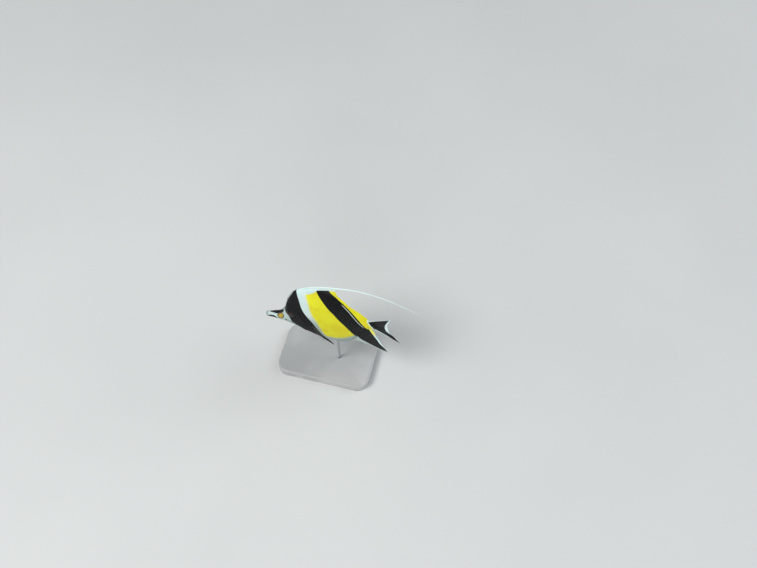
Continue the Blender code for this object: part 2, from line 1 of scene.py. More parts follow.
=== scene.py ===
"""Looks of the moorish idol on its display stand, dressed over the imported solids.

The fish is shaped straight: x back from the snout tip, y to its right, z up, in shares of its standard length.
Every point is then bent over the tail stalk, pitched and lifted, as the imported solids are.
"""

import math

import bpy
import numpy as np
from mathutils import Matrix, Vector


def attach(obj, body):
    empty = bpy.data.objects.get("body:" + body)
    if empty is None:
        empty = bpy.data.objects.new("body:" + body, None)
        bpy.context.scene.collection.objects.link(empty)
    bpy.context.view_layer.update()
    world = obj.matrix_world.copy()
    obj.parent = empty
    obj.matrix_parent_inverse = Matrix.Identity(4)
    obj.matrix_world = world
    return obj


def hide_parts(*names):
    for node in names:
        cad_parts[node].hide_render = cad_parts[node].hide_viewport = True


# Size and pose, in metres and radians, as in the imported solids
SL = 0.130
PITCH = math.radians(11.0)
TAIL_SWING = math.radians(7.5)
BEND_START, BEND_END = 0.60, 1.00
BODY_CENTRE = 0.54
AXIS_HEIGHT = 0.098
MM = 0.001

# Body stations: place, top, bottom, half width, and how much the section narrows towards its keels
STATIONS = (
    (-0.016, -0.0240, -0.0440, 0.0100, 1.00),
    (-0.007, -0.0090, -0.0590, 0.0190, 1.00),
    (0.006, -0.0020, -0.0650, 0.0220, 1.00),
    (0.022, 0.0005, -0.0685, 0.0225, 1.00),
    (0.060, 0.0090, -0.0770, 0.0260, 1.00),
    (0.120, 0.0265, -0.0930, 0.0325, 1.00),
    (0.168, 0.0590, -0.1070, 0.0410, 1.05),
    (0.200, 0.1110, -0.1240, 0.0500, 1.12),
    (0.250, 0.2160, -0.1600, 0.0650, 1.22),
    (0.320, 0.3340, -0.2240, 0.0790, 1.33),
    (0.410, 0.4060, -0.2970, 0.0870, 1.40),
    (0.520, 0.4260, -0.3600, 0.0850, 1.40),
    (0.620, 0.3960, -0.3690, 0.0720, 1.40),
    (0.740, 0.2980, -0.3020, 0.0540, 1.40),
    (0.860, 0.1600, -0.1440, 0.0350, 1.35),
    (0.950, 0.0680, -0.0620, 0.0205, 1.25),
    (1.000, 0.0560, -0.0520, 0.0150, 1.20),
    (1.020, 0.0580, -0.0540, 0.0066, 1.10),
    (1.040, 0.0590, -0.0550, 0.0008, 1.00),
)
# Stretches of the skin's rings along the body, and its points up each side
SKIN_STRETCHES = ((STATIONS[0][0], 0.06, 40), (0.06, 0.20, 52), (0.20, 0.45, 92), (0.45, 1.040, 112))
SIDE_POINTS = 148
SECTION_STEPS = 361

# Relief of the head: places and widths in shares, heights in millimetres
EYE_PLACE, EYE_RADIUS, EYE_HALF_DEPTH, EYE_BULGE = (0.276, 0.098), 0.042, 0.026, 0.010
EYE_OPENING, EYE_RIM, EYE_RIM_WIDTH = 0.0335, 0.0375, 0.0030
EYE_SOCKET_DEPTH, EYE_RIM_HEIGHT = 1.0, 0.30
NOSTRILS, NOSTRIL_RADIUS = ((0.214, 0.100), (0.228, 0.110)), 0.0045
NOSTRIL_DEPTH, NOSTRIL_RIM = 0.5, 0.14
MOUTH_LEVEL, MOUTH_END, MOUTH_WIDTH, MOUTH_DEPTH = -0.036, 0.046, 0.0026, 0.55
LIP_END, LIP_OFFSET, LIP_WIDTH, LIP_HEIGHT = 0.034, 0.0080, 0.0045, 0.22
GILL_LINE = (
    (-0.40, 0.300),
    (-0.19, 0.335),
    (-0.09, 0.378),
    (0.00, 0.392),
    (0.09, 0.378),
    (0.20, 0.362),
    (0.50, 0.366),
)
GILL_LOW, GILL_HIGH = (-0.26, -0.19), (0.13, 0.20)
FLAP_RISE, FLAP_HEIGHT, GILL_GROOVE_WIDTH, GILL_GROOVE_DEPTH = 0.075, 0.50, 0.006, 0.22
CHEEK_CENTRE, CHEEK_RADII, CHEEK_LINE_WIDTH, CHEEK_LINE_DEPTH = (0.385, -0.035), (0.088, 0.125), 0.055, 0.16
PECTORAL_LOBE, PECTORAL_LOBE_HEIGHT = 0.020, 0.45
LATERAL_LINE = (
    (0.38, 0.200),
    (0.46, 0.285),
    (0.56, 0.308),
    (0.68, 0.255),
    (0.80, 0.150),
    (0.90, 0.050),
    (1.00, 0.004),
)
LATERAL_WIDTH, LATERAL_HEIGHT, LATERAL_PITCH = 0.0038, 0.10, 0.0105

# Scales, in metres, with their outline in shares of the pitch: back, aside, and height in millimetres
SCALE_PITCH = 0.00122
SCALE_OUTLINE = (
    (-0.62, 0.00, -0.07),
    (-0.30, 0.40, -0.03),
    (0.14, 0.49, 0.045),
    (0.48, 0.31, 0.085),
    (0.63, 0.00, 0.100),
    (0.48, -0.31, 0.085),
    (0.14, -0.49, 0.045),
    (-0.30, -0.40, -0.03),
)
SCALE_SKIRT, SCALE_FLOOR = (2, 3, 4, 5, 6), -0.06
SCALE_PATCH = 0.0015
FIRST_SCALE, LAST_SCALE = 0.165, 1.027
SCALE_SEED = 7

# Fins: thicknesses in millimetres, the rest in shares
MEMBRANE, RAY, LEADING_RAY, RAY_TIP, FIN_EDGE = 0.16, 0.52, 1.10, 0.24, 0.09
ROOT_THICKNESS, ROOT_FLARE, TAIL_ROOT_FLARE = 1.5, 0.13, 0.42
RAY_COLUMNS, RAY_WIDTH, RAY_FORK, FORK_START = 8, 0.15, 0.24, 0.45
ROOT_SINK, BOW_GATHER, BOW_FADE = 0.014, 0.5, 2
SCALLOP = 0.008
DORSAL_ROOT, DORSAL_RAYS, DORSAL_BOW, DORSAL_ROWS = (0.392, 0.935), 40, 0.085, 38
DORSAL_TIPS = (
    (0.00, 0.800, 0.488),
    (0.12, 0.744, 0.440),
    (0.30, 0.752, 0.366),
    (0.55, 0.803, 0.272),
    (0.80, 0.876, 0.180),
    (1.00, 0.955, 0.092),
)
ANAL_ROOT, ANAL_RAYS, ANAL_BOW, ANAL_ROWS = (0.728, 0.935), 31, 0.012, 36
ANAL_TIPS = (
    (0.00, 1.050, -0.424),
    (0.20, 1.023, -0.338),
    (0.50, 0.994, -0.236),
    (0.80, 0.980, -0.136),
    (1.00, 0.964, -0.082),
)
SHORT_SPINES = ((0.398, 0.026), (0.406, 0.048))
SHORT_SPINE_RADIUS, SHORT_SPINE_LEAN = 0.006, (0.88, 0.48)
FILAMENT = ((0.800, 0.488), (0.980, 0.517), (1.200, 0.515), (1.460, 0.352))
FILAMENT_ROOT, FILAMENT_TIP, FILAMENT_TAPER, FILAMENT_FLATNESS = 1.15, 0.28, 0.8, 0.45
SPINE_ROOT_RADIUS, SPINE_NECK = 0.85, 0.95
TAIL_ROOT, TAIL_NOTCH, TAIL_RAYS, TAIL_ROWS = 0.985, 1.122, 19, 40
TAIL_TOP_ROOT, TAIL_TOP_SHARE = 0.965, 0.97
UPPER_LOBE, LOWER_LOBE, TAIL_FORK, TAIL_ROOT_SHARE = (1.184, 0.167), (1.206, -0.190), 1.8, 0.86
PECTORAL_ROOT, PECTORAL_ROOT_WIDTH, PECTORAL_LENGTH = (0.425, -0.020), 0.038, 0.205
PECTORAL_RAYS, PECTORAL_FAN = 17, math.radians(27)
PECTORAL_OUT, PECTORAL_DOWN, PECTORAL_LEAN, PECTORAL_CUP = math.radians(33), math.radians(24), 0.25, 0.02
PECTORAL_LONGEST, PECTORAL_ROUNDING, PECTORAL_SLANT = 0.45, 0.34, 0.08
PELVIC_RAYS, PELVIC_INWARD, PELVIC_CURVE = 6, 0.6, 1.5
PELVIC_ROOT, PELVIC_ROOT_SIDE = ((0.408, -0.276), (0.458, -0.309)), 0.016
PELVIC_TIPS, PELVIC_TIP_SIDE = ((0.548, -0.384), (0.505, -0.362)), 0.042
PAIRED_ROWS = 26
HORN_PLACE, HORN_LENGTH, HORN_RADIUS, HORN_SINK = (0.240, 0.152), 0.034, 0.010, 0.80
HORN_LEAN, HORN_CURL = (-0.55, 0.62, 0.55), 0.22

# Markings of the side view. Each edge of a band is a list of heights and the places it passes there
BAND_1_FRONT = (
    (-0.40, 0.385),
    (-0.26, 0.362),
    (-0.165, 0.333),
    (-0.121, 0.301),
    (-0.096, 0.286),
    (-0.053, 0.266),
    (-0.030, 0.252),
    (-0.005, 0.248),
    (0.025, 0.248),
    (0.051, 0.243),
    (0.068, 0.235),
    (0.082, 0.220),
    (0.095, 0.211),
    (0.112, 0.212),
    (0.140, 0.223),
    (0.165, 0.233),
    (0.198, 0.246),
    (0.29, 0.296),
    (0.35, 0.340),
    (0.45, 0.398),
)
BAND_1_REAR = (
    (-0.42, 0.505),
    (-0.25, 0.500),
    (-0.16, 0.490),
    (-0.08, 0.480),
    (0.00, 0.468),
    (0.054, 0.457),
    (0.10, 0.440),
    (0.17, 0.420),
    (0.218, 0.410),
    (0.317, 0.403),
    (0.394, 0.390),
    (0.50, 0.380),
)
BAND_2_FRONT = (
    (-0.43, 1.060),
    (-0.412, 1.036),
    (-0.394, 0.991),
    (-0.370, 0.939),
    (-0.339, 0.888),
    (-0.308, 0.846),
    (-0.279, 0.812),
    (-0.247, 0.796),
    (-0.150, 0.779),
    (-0.07, 0.760),
    (0.00, 0.738),
    (0.08, 0.705),
    (0.165, 0.673),
    (0.20, 0.655),
    (0.289, 0.620),
    (0.40, 0.577),
    (0.50, 0.540),
)
BAND_2_REAR = (
    (-0.43, 1.046),
    (-0.356, 1.024),
    (-0.288, 0.987),
    (-0.234, 0.969),
    (-0.184, 0.957),
    (-0.120, 0.943),
    (-0.075, 0.932),
    (-0.020, 0.918),
    (0.020, 0.903),
    (0.060, 0.887),
    (0.117, 0.860),
    (0.174, 0.829),
    (0.236, 0.790),
    (0.296, 0.752),
    (0.363, 0.717),
    (0.422, 0.692),
    (0.50, 0.672),
)
# The fine white line near the second band's rear edge, and the heights where it fades in and out
WHITE_LINE = (
    (-0.10, 0.925),
    (-0.050, 0.913),
    (-0.004, 0.893),
    (0.085, 0.854),
    (0.177, 0.811),
    (0.261, 0.763),
    (0.36, 0.700),
)
LINE_HALF, LINE_LOW, LINE_HIGH = 0.0025, (-0.050, -0.020), (0.235, 0.300)
TAIL_BLACK_FRONT = (
    (-0.20, 1.048),
    (-0.060, 1.004),
    (-0.030, 0.995),
    (0.000, 0.986),
    (0.025, 0.974),
    (0.046, 0.963),
    (0.061, 0.957),
    (0.078, 0.964),
    (0.110, 0.990),
    (0.20, 1.010),
)
TAIL_LINE = 0.010
# How deep the tail's pale crescent is at each height, and its pale lower and upper edges
CRESCENT = (
    (-0.190, 0.000),
    (-0.085, 0.002),
    (-0.060, 0.011),
    (-0.035, 0.024),
    (0.000, 0.027),
    (0.050, 0.023),
    (0.100, 0.015),
    (0.150, 0.009),
    (0.167, 0.012),
)
LOBE_EDGE, UPPER_EDGE_SHARE = 0.0075, 0.34
WHITE_STRIP = ((0.38, 0.362), (0.435, 0.378), (0.519, 0.400), (0.590, 0.424), (0.698, 0.441), (0.80, 0.452))
# How far behind the first band the white starts to turn yellow, at each height
WHITE_BEHIND_BAND_1 = (
    (-0.40, 0.002),
    (-0.25, 0.004),
    (-0.15, 0.008),
    (-0.06, 0.016),
    (0.04, 0.028),
    (0.126, 0.038),
    (0.22, 0.052),
    (0.34, 0.060),
    (0.45, 0.068),
)
WHITE_FADE, STRIP_FADE = 0.036, 0.016
# The level below which the yellow turns white, along the belly
YELLOW_LOW = (
    (0.46, -0.150),
    (0.500, -0.178),
    (0.540, -0.203),
    (0.580, -0.221),
    (0.630, -0.229),
    (0.670, -0.224),
    (0.710, -0.211),
    (0.750, -0.190),
    (0.800, -0.157),
    (0.850, -0.125),
)
BELLY_FADE, BELLY_PALE = (-0.050, 0.024), 0.92
STALK_LEVEL, STALK_PALE = (-0.020, -0.050), 0.25
ANAL_MARGIN_WHITE = (-0.200, -0.115)
# How grey the white turns on the lips and up the forehead, and painted shade over the face and cheek, under the head
# and along the lower edge
LIPS, LIPS_GREY = (-0.006, 0.034), 0.85
FOREHEAD, FOREHEAD_GREY = (0.066, 0.110), 0.78
UNDER_HEAD, UNDER_HEAD_SHADE = (-0.070, 0.075), 0.82
FACE_SHADE, CHEEK, CHEEK_SHADE = 0.34, (0.150, 0.190), 0.46
LOWER_EDGE, LOWER_EDGE_SHADE, LOWER_EDGE_END = (-0.060, 0.010), 0.62, (0.81, 0.90)
LOW_STRIP, LOW_STRIP_GREY = (-0.030, 0.180), 0.55
TAIL_EDGE_GREY, UPPER_WHITE_TIP = 0.35, 0.90
SADDLE = (
    (0.110, 0.001),
    (0.128, 0.017),
    (0.150, 0.029),
    (0.165, 0.035),
    (0.172, 0.028),
    (0.167, 0.006),
    (0.156, -0.015),
    (0.143, -0.032),
    (0.129, -0.040),
    (0.117, -0.038),
    (0.110, -0.020),
)
SADDLE_RIM = 0.0060
SNOUT_TOP = (
    (0.030, 0.003),
    (0.050, 0.0045),
    (0.070, 0.006),
    (0.102, 0.008),
    (0.129, 0.024),
    (0.150, 0.035),
    (0.170, 0.047),
    (0.181, 0.060),
    (0.182, 0.085),
    (0.150, 0.120),
    (0.080, 0.070),
    (0.032, 0.030),
)
CHIN = (
    (-0.030, -0.036),
    (0.003, -0.034),
    (0.020, -0.025),
    (0.036, -0.020),
    (0.056, -0.019),
    (0.072, -0.022),
    (0.083, -0.031),
    (0.092, -0.045),
    (0.108, -0.057),
    (0.140, -0.066),
    (0.170, -0.078),
    (0.150, -0.120),
    (0.080, -0.125),
    (0.000, -0.110),
    (-0.030, -0.080),
)
CHEEK_SPOT = ((0.172, -0.024), (0.184, -0.017), (0.199, -0.024), (0.196, -0.033), (0.180, -0.034))
OUTLINE_STEPS = 6

# Colours
SADDLE_YELLOW = (0.440, 0.350, 0.046)
SADDLE_ORANGE = (0.320, 0.170, 0.020)
WHITE = (0.690, 0.820, 0.805)
PALE_BLUE = (0.400, 0.680, 0.740)
# The grey the white turns towards, on the lips and forehead and as painted shade on the face and underside
DUSK_AND_SHADE_WHITE = (0.200, 0.245, 0.235)
LEMON = (0.860, 0.845, 0.030)
DEEP_YELLOW = (0.800, 0.690, 0.020)
BLACK = (0.0040, 0.0055, 0.0070)
BROWN_BLACK = (0.0090, 0.0085, 0.0080)
EDGE_SOFTNESS, EDGE_JITTER = 0.0016, 0.0012

# Camera, from the photo: azimuth and elevation of the view, the camera's place, and the focal length
IMAGE_WIDTH, IMAGE_HEIGHT = 757, 568
CAMERA_AZIMUTH, CAMERA_ELEVATION = math.radians(14.1), math.radians(57.3)
CAMERA_PLACE = (0.17726, -0.45816, 0.92705)
FOCAL_PIXELS, SENSOR_WIDTH = 858.17, 36.0
FLOOR_SIZE = 6.0


def smooth(table, place):
    """The table's later columns at the given places of its first, by monotone cubic pieces."""
    table = np.array(table, float)
    xs, ys = table[:, 0], table[:, 1:]
    place = np.clip(np.atleast_1d(np.asarray(place, float)), xs[0], xs[-1])
    step = np.diff(xs)[:, None]
    slope = np.diff(ys, axis=0) / step
    tangent = np.zeros_like(ys)
    tangent[0], tangent[-1] = slope[0], slope[-1]
    for k in range(1, len(xs) - 1):
        before, after = 2 * step[k] + step[k - 1], step[k] + 2 * step[k - 1]
        for column in np.flatnonzero(slope[k - 1] * slope[k] > 0):
            shares = before / slope[k - 1, column] + after / slope[k, column]
            tangent[k, column] = ((before + after) / shares)[0]
    i = np.clip(np.searchsorted(xs, place, side="right") - 1, 0, len(xs) - 2)
    h = step[i]
    t = (place[:, None] - xs[i][:, None]) / h
    rise = ys[i] * (2 * t**3 - 3 * t**2 + 1) + ys[i + 1] * (3 * t**2 - 2 * t**3)
    return rise + h * (tangent[i] * (t**3 - 2 * t**2 + t) + tangent[i + 1] * (t**3 - t**2))


def along(table, values):
    """One smooth column of a table at an array of values of any shape."""
    values = np.asarray(values, float)
    return smooth(table, values.ravel())[:, 0].reshape(values.shape)


def ramp(values, low, high):
    """From 0 at low to 1 at high, smooth at both ends."""
    t = np.clip((values - low) / (high - low), 0, 1)
    return t * t * (3 - 2 * t)


def ridge(distance, width):
    return np.exp(-((distance / width) ** 2))


def unit(vectors):
    return vectors / np.maximum(np.linalg.norm(vectors, axis=-1, keepdims=True), 1e-12)


def posed(points):
    """Straight points in metres, bent over the tail stalk, then pitched and lifted into the row frame."""
    x, y, z = np.asarray(points, float).T
    start, curvature = BEND_START * SL, TAIL_SWING / ((BEND_END - BEND_START) * SL)
    angle = np.clip((x - start) * curvature, 0, TAIL_SWING)
    past = np.maximum(x - BEND_END * SL, 0)
    sine, cosine = np.sin(angle), np.cos(angle)
    back = np.minimum(x, start) + sine / curvature + past * math.cos(TAIL_SWING) + y * sine
    aside = -(1 - cosine) / curvature - past * math.sin(TAIL_SWING) + y * cosine
    c, s = math.cos(PITCH), math.sin(PITCH)
    centre = BODY_CENTRE * SL
    return np.stack([(back - centre) * c - z * s, aside, (back - centre) * s + z * c + AXIS_HEIGHT], axis=1)


def top_at(x):
    return smooth(STATIONS, x)[:, 0]


def bottom_at(x):
    return smooth(STATIONS, x)[:, 1]


def half_width_at(x, z):
    """Half the body's thickness in metres at a place in its side view."""
    top, bottom, half_width, keel = smooth(STATIONS, x)[0]
    height = (2 * z - top - bottom) / (top - bottom)
    return half_width * SL * max(0.0, 1 - height**2) ** (keel / 2)


def polyline(points, steps=OUTLINE_STEPS, closed=False):
    """Points of a smooth curve through the given ones, by Catmull-Rom pieces."""
    points = np.array(points, float)
    count = len(points)
    ends = range(count if closed else count - 1)
    pieces = []
    t = np.linspace(0, 1, steps, endpoint=False)[:, None]
    for k in ends:
        if closed:
            a, b, c, d = (points[(k + j) % count] for j in (-1, 0, 1, 2))
        else:
            a, b, c, d = (points[min(max(k + j, 0), count - 1)] for j in (-1, 0, 1, 2))
        bend = 2 * b + (c - a) * t + (2 * a - 5 * b + 4 * c - d) * t**2 + (3 * b - a - 3 * c + d) * t**3
        pieces.append(bend / 2)
    if not closed:
        pieces.append(points[-1:])
    return np.concatenate(pieces)


def line_distance(x, z, line):
    """Distance of each place to a chain of points."""
    best = np.full(x.shape, np.inf)
    for (ax, az), (bx, bz) in zip(line[:-1], line[1:]):
        dx, dz = bx - ax, bz - az
        share = np.clip(((x - ax) * dx + (z - az) * dz) / (dx * dx + dz * dz), 0, 1)
        best = np.minimum(best, np.hypot(x - ax - share * dx, z - az - share * dz))
    return best


def outline_distance(x, z, outline):
    """Distance of each place to a smooth closed outline, negative inside it."""
    line = polyline(outline, closed=True)
    line = np.concatenate([line, line[:1]])
    inside = np.zeros(x.shape, bool)
    for (ax, az), (bx, bz) in zip(line[:-1], line[1:]):
        crosses = (az > z) != (bz > z)
        inside ^= crosses & (x < ax + (z - az) * (bx - ax) / np.where(bz == az, 1, bz - az))
    return np.where(inside, -1, 1) * line_distance(x, z, line)


def tail_rear_edge(share, above):
    """Where the tail ends, at shares of the way from its middle to the tip of each lobe."""
    lobe = np.where(above, UPPER_LOBE[0], LOWER_LOBE[0])
    return TAIL_NOTCH + (lobe - TAIL_NOTCH) * np.clip(share, 0, 1) ** TAIL_FORK


def markings(place):
    """The pattern at places of the side view, in shares.

    black and saddle are distances to those marks, negative inside them. line is the distance to the fine
    white line's middle, with a sign, and line_half is its half width. pale is 0 for yellow and 1 for white,
    and grey is how far that white turns grey: on the lips, up the forehead, low on the flank and on the tail's
    edges, and as painted shade over the face, under the head and along the belly's lower edge.
    """
    x, z = place[:, 0], place[:, 2]
    front_1, rear_1 = along(BAND_1_FRONT, z), along(BAND_1_REAR, z)
    front_2, rear_2 = along(BAND_2_FRONT, z), along(BAND_2_REAR, z)
    tail_front = along(TAIL_BLACK_FRONT, z)
    steep = 0.9
    band_1 = np.maximum(front_1 - x, x - rear_1) * steep
    band_2 = np.maximum(front_2 - x, x - rear_2) * steep

    line = (x - along(WHITE_LINE, z)) * steep
    shown = ramp(z, *LINE_LOW) * (1 - ramp(z, *LINE_HIGH))
    line_half = LINE_HALF * (2 * shown - 1)

    # The tail, black inside its pale rear crescent and edges
    above = z > 0
    rear = tail_rear_edge(z / np.where(above, UPPER_LOBE[1], LOWER_LOBE[1]), above)
    to_upper = np.clip((x - TAIL_TOP_ROOT) / (UPPER_LOBE[0] - TAIL_TOP_ROOT), 0, 1)
    to_lower = np.clip((x - TAIL_ROOT) / (LOWER_LOBE[0] - TAIL_ROOT), 0, 1)
    upper, lower = top_at(TAIL_TOP_ROOT)[0] * TAIL_TOP_SHARE, bottom_at(TAIL_ROOT)[0] * TAIL_ROOT_SHARE
    upper_edge = upper + (UPPER_LOBE[1] - upper) * to_upper
    lower_edge = lower + (LOWER_LOBE[1] - lower) * to_lower
    inner_upper = upper_edge - LOBE_EDGE * (UPPER_EDGE_SHARE + ramp(to_upper, 0.84, 0.96))
    inner_lower = lower_edge + LOBE_EDGE * (1 - ramp(to_lower, 0.42, 0.80))
    tail = np.max([tail_front - x, x - rear + along(CRESCENT, z), z - inner_upper, inner_lower - z], axis=0)
    tail = np.where((x > 0.94) & (z > LOWER_LOBE[1] - 0.01), tail, 1.0)

    # The snout's dark top, the chin, and the saddle with its dark rim
    saddle = outline_distance(x, z, SADDLE)
    face = np.min([outline_distance(x, z, outline) for outline in (SNOUT_TOP, CHIN, CHEEK_SPOT)], axis=0)

    # White goes over the black along the dorsal's upper edge
    strip = (along(WHITE_STRIP, x) - z) * steep
    strip = np.where(x > DORSAL_ROOT[0] + 0.004, strip, 1.0)
    black = np.max([np.min([band_1, band_2, tail, face], axis=0), -strip, -saddle], axis=0)

    # Where the ground colour is white instead of yellow
    past_band = x - rear_1 - along(WHITE_BEHIND_BAND_1, z)
    pale = 1 - ramp(past_band, 0, WHITE_FADE)
    above_belly = z - along(YELLOW_LOW, x)
    pale = np.maximum(pale, BELLY_PALE * (1 - ramp(above_belly, *BELLY_FADE)))
    stalk = STALK_PALE * (1 - ramp(z, STALK_LEVEL[1], STALK_LEVEL[0])) * ramp(x, 0.90, 0.94)
    behind = np.maximum(stalk, 1 - ramp(z, *ANAL_MARGIN_WHITE))
    pale = np.where(x > (front_2 + rear_2) / 2, behind, pale)
    pale = np.maximum(pale, ramp(x, tail_front - TAIL_LINE * 1.4, tail_front - TAIL_LINE * 0.8))
    pale = np.maximum(pale, ramp(-strip, -STRIP_FADE, 0.004))
    before_band = x < (front_1 + rear_1) / 2
    pale = np.where(before_band, 1.0, pale)

    # Where the white turns grey, with painted shade over the face and cheek, under the head and along the lower edge
    lips = LIPS_GREY * (1 - ramp(x, *LIPS))
    forehead = FOREHEAD_GREY * ramp(z, *FOREHEAD)
    # Painted shade: the white under the head darkened towards the chin and breast
    under_head_shade = UNDER_HEAD_SHADE * (1 - ramp(z, *UNDER_HEAD)) * ramp(x, 0.13, 0.18)
    # Painted shade along the belly's lower edge, fading out towards the tail
    lower_edge = LOWER_EDGE_SHADE * (1 - ramp(above_belly, *LOWER_EDGE)) * (1 - 0.7 * ramp(x, *LOWER_EDGE_END))
    low_strip = LOW_STRIP_GREY * (1 - ramp(z, *LOW_STRIP))
    on_edge = (x > tail_front) & ((z > inner_upper) | (z < inner_lower)) & (to_upper < UPPER_WHITE_TIP)
    behind_band = np.where(on_edge, TAIL_EDGE_GREY, 0.0)
    rest = np.where(x > (front_2 + rear_2) / 2, behind_band, np.maximum(lower_edge, low_strip))
    # Painted shade over the whole face, darker on the cheek towards the first band
    cheek_shade = FACE_SHADE + (CHEEK_SHADE - FACE_SHADE) * ramp(x, *CHEEK)
    grey = np.where(before_band, np.max([lips, forehead, under_head_shade, cheek_shade], axis=0), rest)
    return {"black": black, "saddle": saddle, "line": line, "line_half": line_half, "pale": pale, "grey": grey}


def relief(x, z):
    """How far the skin stands out from the plain body, in millimetres, at places of the side view."""
    from_eye = np.hypot(x - EYE_PLACE[0], z - EYE_PLACE[1])
    out = EYE_RIM_HEIGHT * ridge(from_eye - EYE_RIM, EYE_RIM_WIDTH)
    out -= EYE_SOCKET_DEPTH * (1 - ramp(from_eye, EYE_OPENING - 0.003, EYE_OPENING + 0.001))
    for place in NOSTRILS:
        from_nostril = np.hypot(x - place[0], z - place[1])
        out += NOSTRIL_RIM * ridge(from_nostril - NOSTRIL_RADIUS * 1.3, NOSTRIL_RADIUS * 0.5)
        out -= NOSTRIL_DEPTH * (1 - ramp(from_nostril, NOSTRIL_RADIUS * 0.4, NOSTRIL_RADIUS))

    behind = x - along(GILL_LINE, z)
    reach = ramp(z, *GILL_LOW) * (1 - ramp(z, *GILL_HIGH))
    out += reach * FLAP_HEIGHT * ramp(behind, -FLAP_RISE, -0.004) * (1 - ramp(behind, -0.003, 0.005))
    out -= reach * GILL_GROOVE_DEPTH * ridge(behind - 0.008, GILL_GROOVE_WIDTH)
    cover = np.hypot((x - CHEEK_CENTRE[0]) / CHEEK_RADII[0], (z - CHEEK_CENTRE[1]) / CHEEK_RADII[1]) - 1
    front = 1 - ramp(x, CHEEK_CENTRE[0] - CHEEK_RADII[0] * 0.6, CHEEK_CENTRE[0] - CHEEK_RADII[0] * 0.1)
    out -= CHEEK_LINE_DEPTH * front * ridge(cover, CHEEK_LINE_WIDTH)

    in_mouth = 1 - ramp(x, MOUTH_END - 0.012, MOUTH_END)
    in_lips = 1 - ramp(x, LIP_END - 0.014, LIP_END)
    out -= in_mouth * MOUTH_DEPTH * ridge(z - MOUTH_LEVEL, MOUTH_WIDTH)
    for way in (-1, 1):
        out += in_lips * LIP_HEIGHT * ridge(z - MOUTH_LEVEL - way * LIP_OFFSET, LIP_WIDTH)

    out += PECTORAL_LOBE_HEIGHT * ridge(np.hypot(x - PECTORAL_ROOT[0], z - PECTORAL_ROOT[1]), PECTORAL_LOBE)
    tubes = 0.6 + 0.4 * np.cos(2 * math.pi * x / LATERAL_PITCH)
    on_line = ramp(x, LATERAL_LINE[0][0] - 0.01, LATERAL_LINE[0][0] + 0.02)
    out += on_line * LATERAL_HEIGHT * tubes * ridge(z - along(LATERAL_LINE, x), LATERAL_WIDTH)
    return out


def linked(name, mesh):
    obj = bpy.data.objects.new(name, mesh)
    bpy.context.scene.collection.objects.link(obj)
    return obj


def dress(name, points, faces, corners, material, slot, replaced=(), **values):
    """A finished piece from straight points: posed, painted, riding, and carrying its attributes and its map.

    corners holds one place on the map for each corner of each face, in order.
    """
    points = np.asarray(points, float)
    mesh = bpy.data.meshes.new(name)
    mesh.from_pydata(posed(points).tolist(), [], [list(face) for face in faces])
    mesh.attributes.new("place", "FLOAT_VECTOR", "POINT").data.foreach_set("vector", (points / SL).ravel())
    for key, numbers in values.items():
        mesh.attributes.new(key, "FLOAT", "POINT").data.foreach_set("value", np.asarray(numbers, float).ravel())
    layer = mesh.uv_layers.new(name="OFBake")
    layer.data.foreach_set("uv", np.asarray(corners, float).ravel())
    mesh.materials.append(material)
    mesh.shade_smooth()
    obj = linked(name, mesh)
    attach(obj, "root")
    if replaced:
        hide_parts(*replaced)
    return obj


class Body:
    """The skin's grid of straight points: rings along the body, each up the left side and down the right."""

    def __init__(self):
        stretches = [np.linspace(start, end, count, endpoint=False) for start, end, count in SKIN_STRETCHES]
        self.places = np.concatenate([*stretches, [SKIN_STRETCHES[-1][1]]])
        top, bottom, half_width, keel = smooth(STATIONS, self.places).T
        middle, half_height = (top + bottom) / 2, (top - bottom) / 2
        turn = np.linspace(-math.pi / 2, math.pi / 2, SECTION_STEPS)
        left = []
        self.lengths = []
        for x, w, k, m, h in zip(self.places, half_width, keel, middle, half_height):
            y, z = -w * np.abs(np.cos(turn)) ** k, m + h * np.sin(turn)
            run = np.concatenate([[0], np.cumsum(np.hypot(np.diff(y), np.diff(z)))])
            even = np.interp(np.linspace(0, run[-1], SIDE_POINTS), run, turn)
            y, z = -w * np.abs(np.cos(even)) ** k, m + h * np.sin(even)
            y[[0, -1]] = 0
            left.append(np.stack([np.full(SIDE_POINTS, x), y, z], axis=1))
            self.lengths.append(run[-1])
        self.lengths = np.array(self.lengths)
        left = np.array(left)
        right = left[:, -2:0:-1] * (1, -1, 1)
        ring = np.concatenate([left, right], axis=1)
        height = relief(ring[..., 0], ring[..., 2])
        self.ring = ring * SL + self.out_of(ring) * height[..., None] * MM
        self.out = self.out_of(self.ring)

    @staticmethod
    def out_of(ring):
        """Directions straight out of the skin at every point."""
        back = np.gradient(ring, axis=0)
        up = np.roll(ring, -1, axis=1) - np.roll(ring, 1, axis=1)
        return unit(np.cross(back, up))

    def on_map(self, x, share, left):
        """Places on the skin's map: each side unrolled over its own half of it."""
        length = np.interp(x, self.places, self.lengths) / self.lengths.max()
        side = np.where(left, 0.25, 0.75)
        return np.stack([0.02 + 0.92 * x, side + (share - 0.5) * 0.46 * length], axis=-1)

    def at(self, x, share, left):
        """Points on the skin and the ways out of it, at places along the body and shares up a side."""
        row = np.interp(x, self.places, np.arange(len(self.places)))
        column = share * (SIDE_POINTS - 1)
        total = self.ring.shape[1]
        column = np.where(left, column, total - column)
        i, j = np.floor(row).astype(int).clip(0, len(self.places) - 2), np.floor(column).astype(int)
        a, b = (row - i)[:, None], (column - j)[:, None]
        near, far = j % total, (j + 1) % total
        found = []
        for grid in (self.ring, self.out):
            low = grid[i, near] * (1 - b) + grid[i, far] * b
            high = grid[i + 1, near] * (1 - b) + grid[i + 1, far] * b
            found.append(low * (1 - a) + high * a)
        return found[0], unit(found[1])


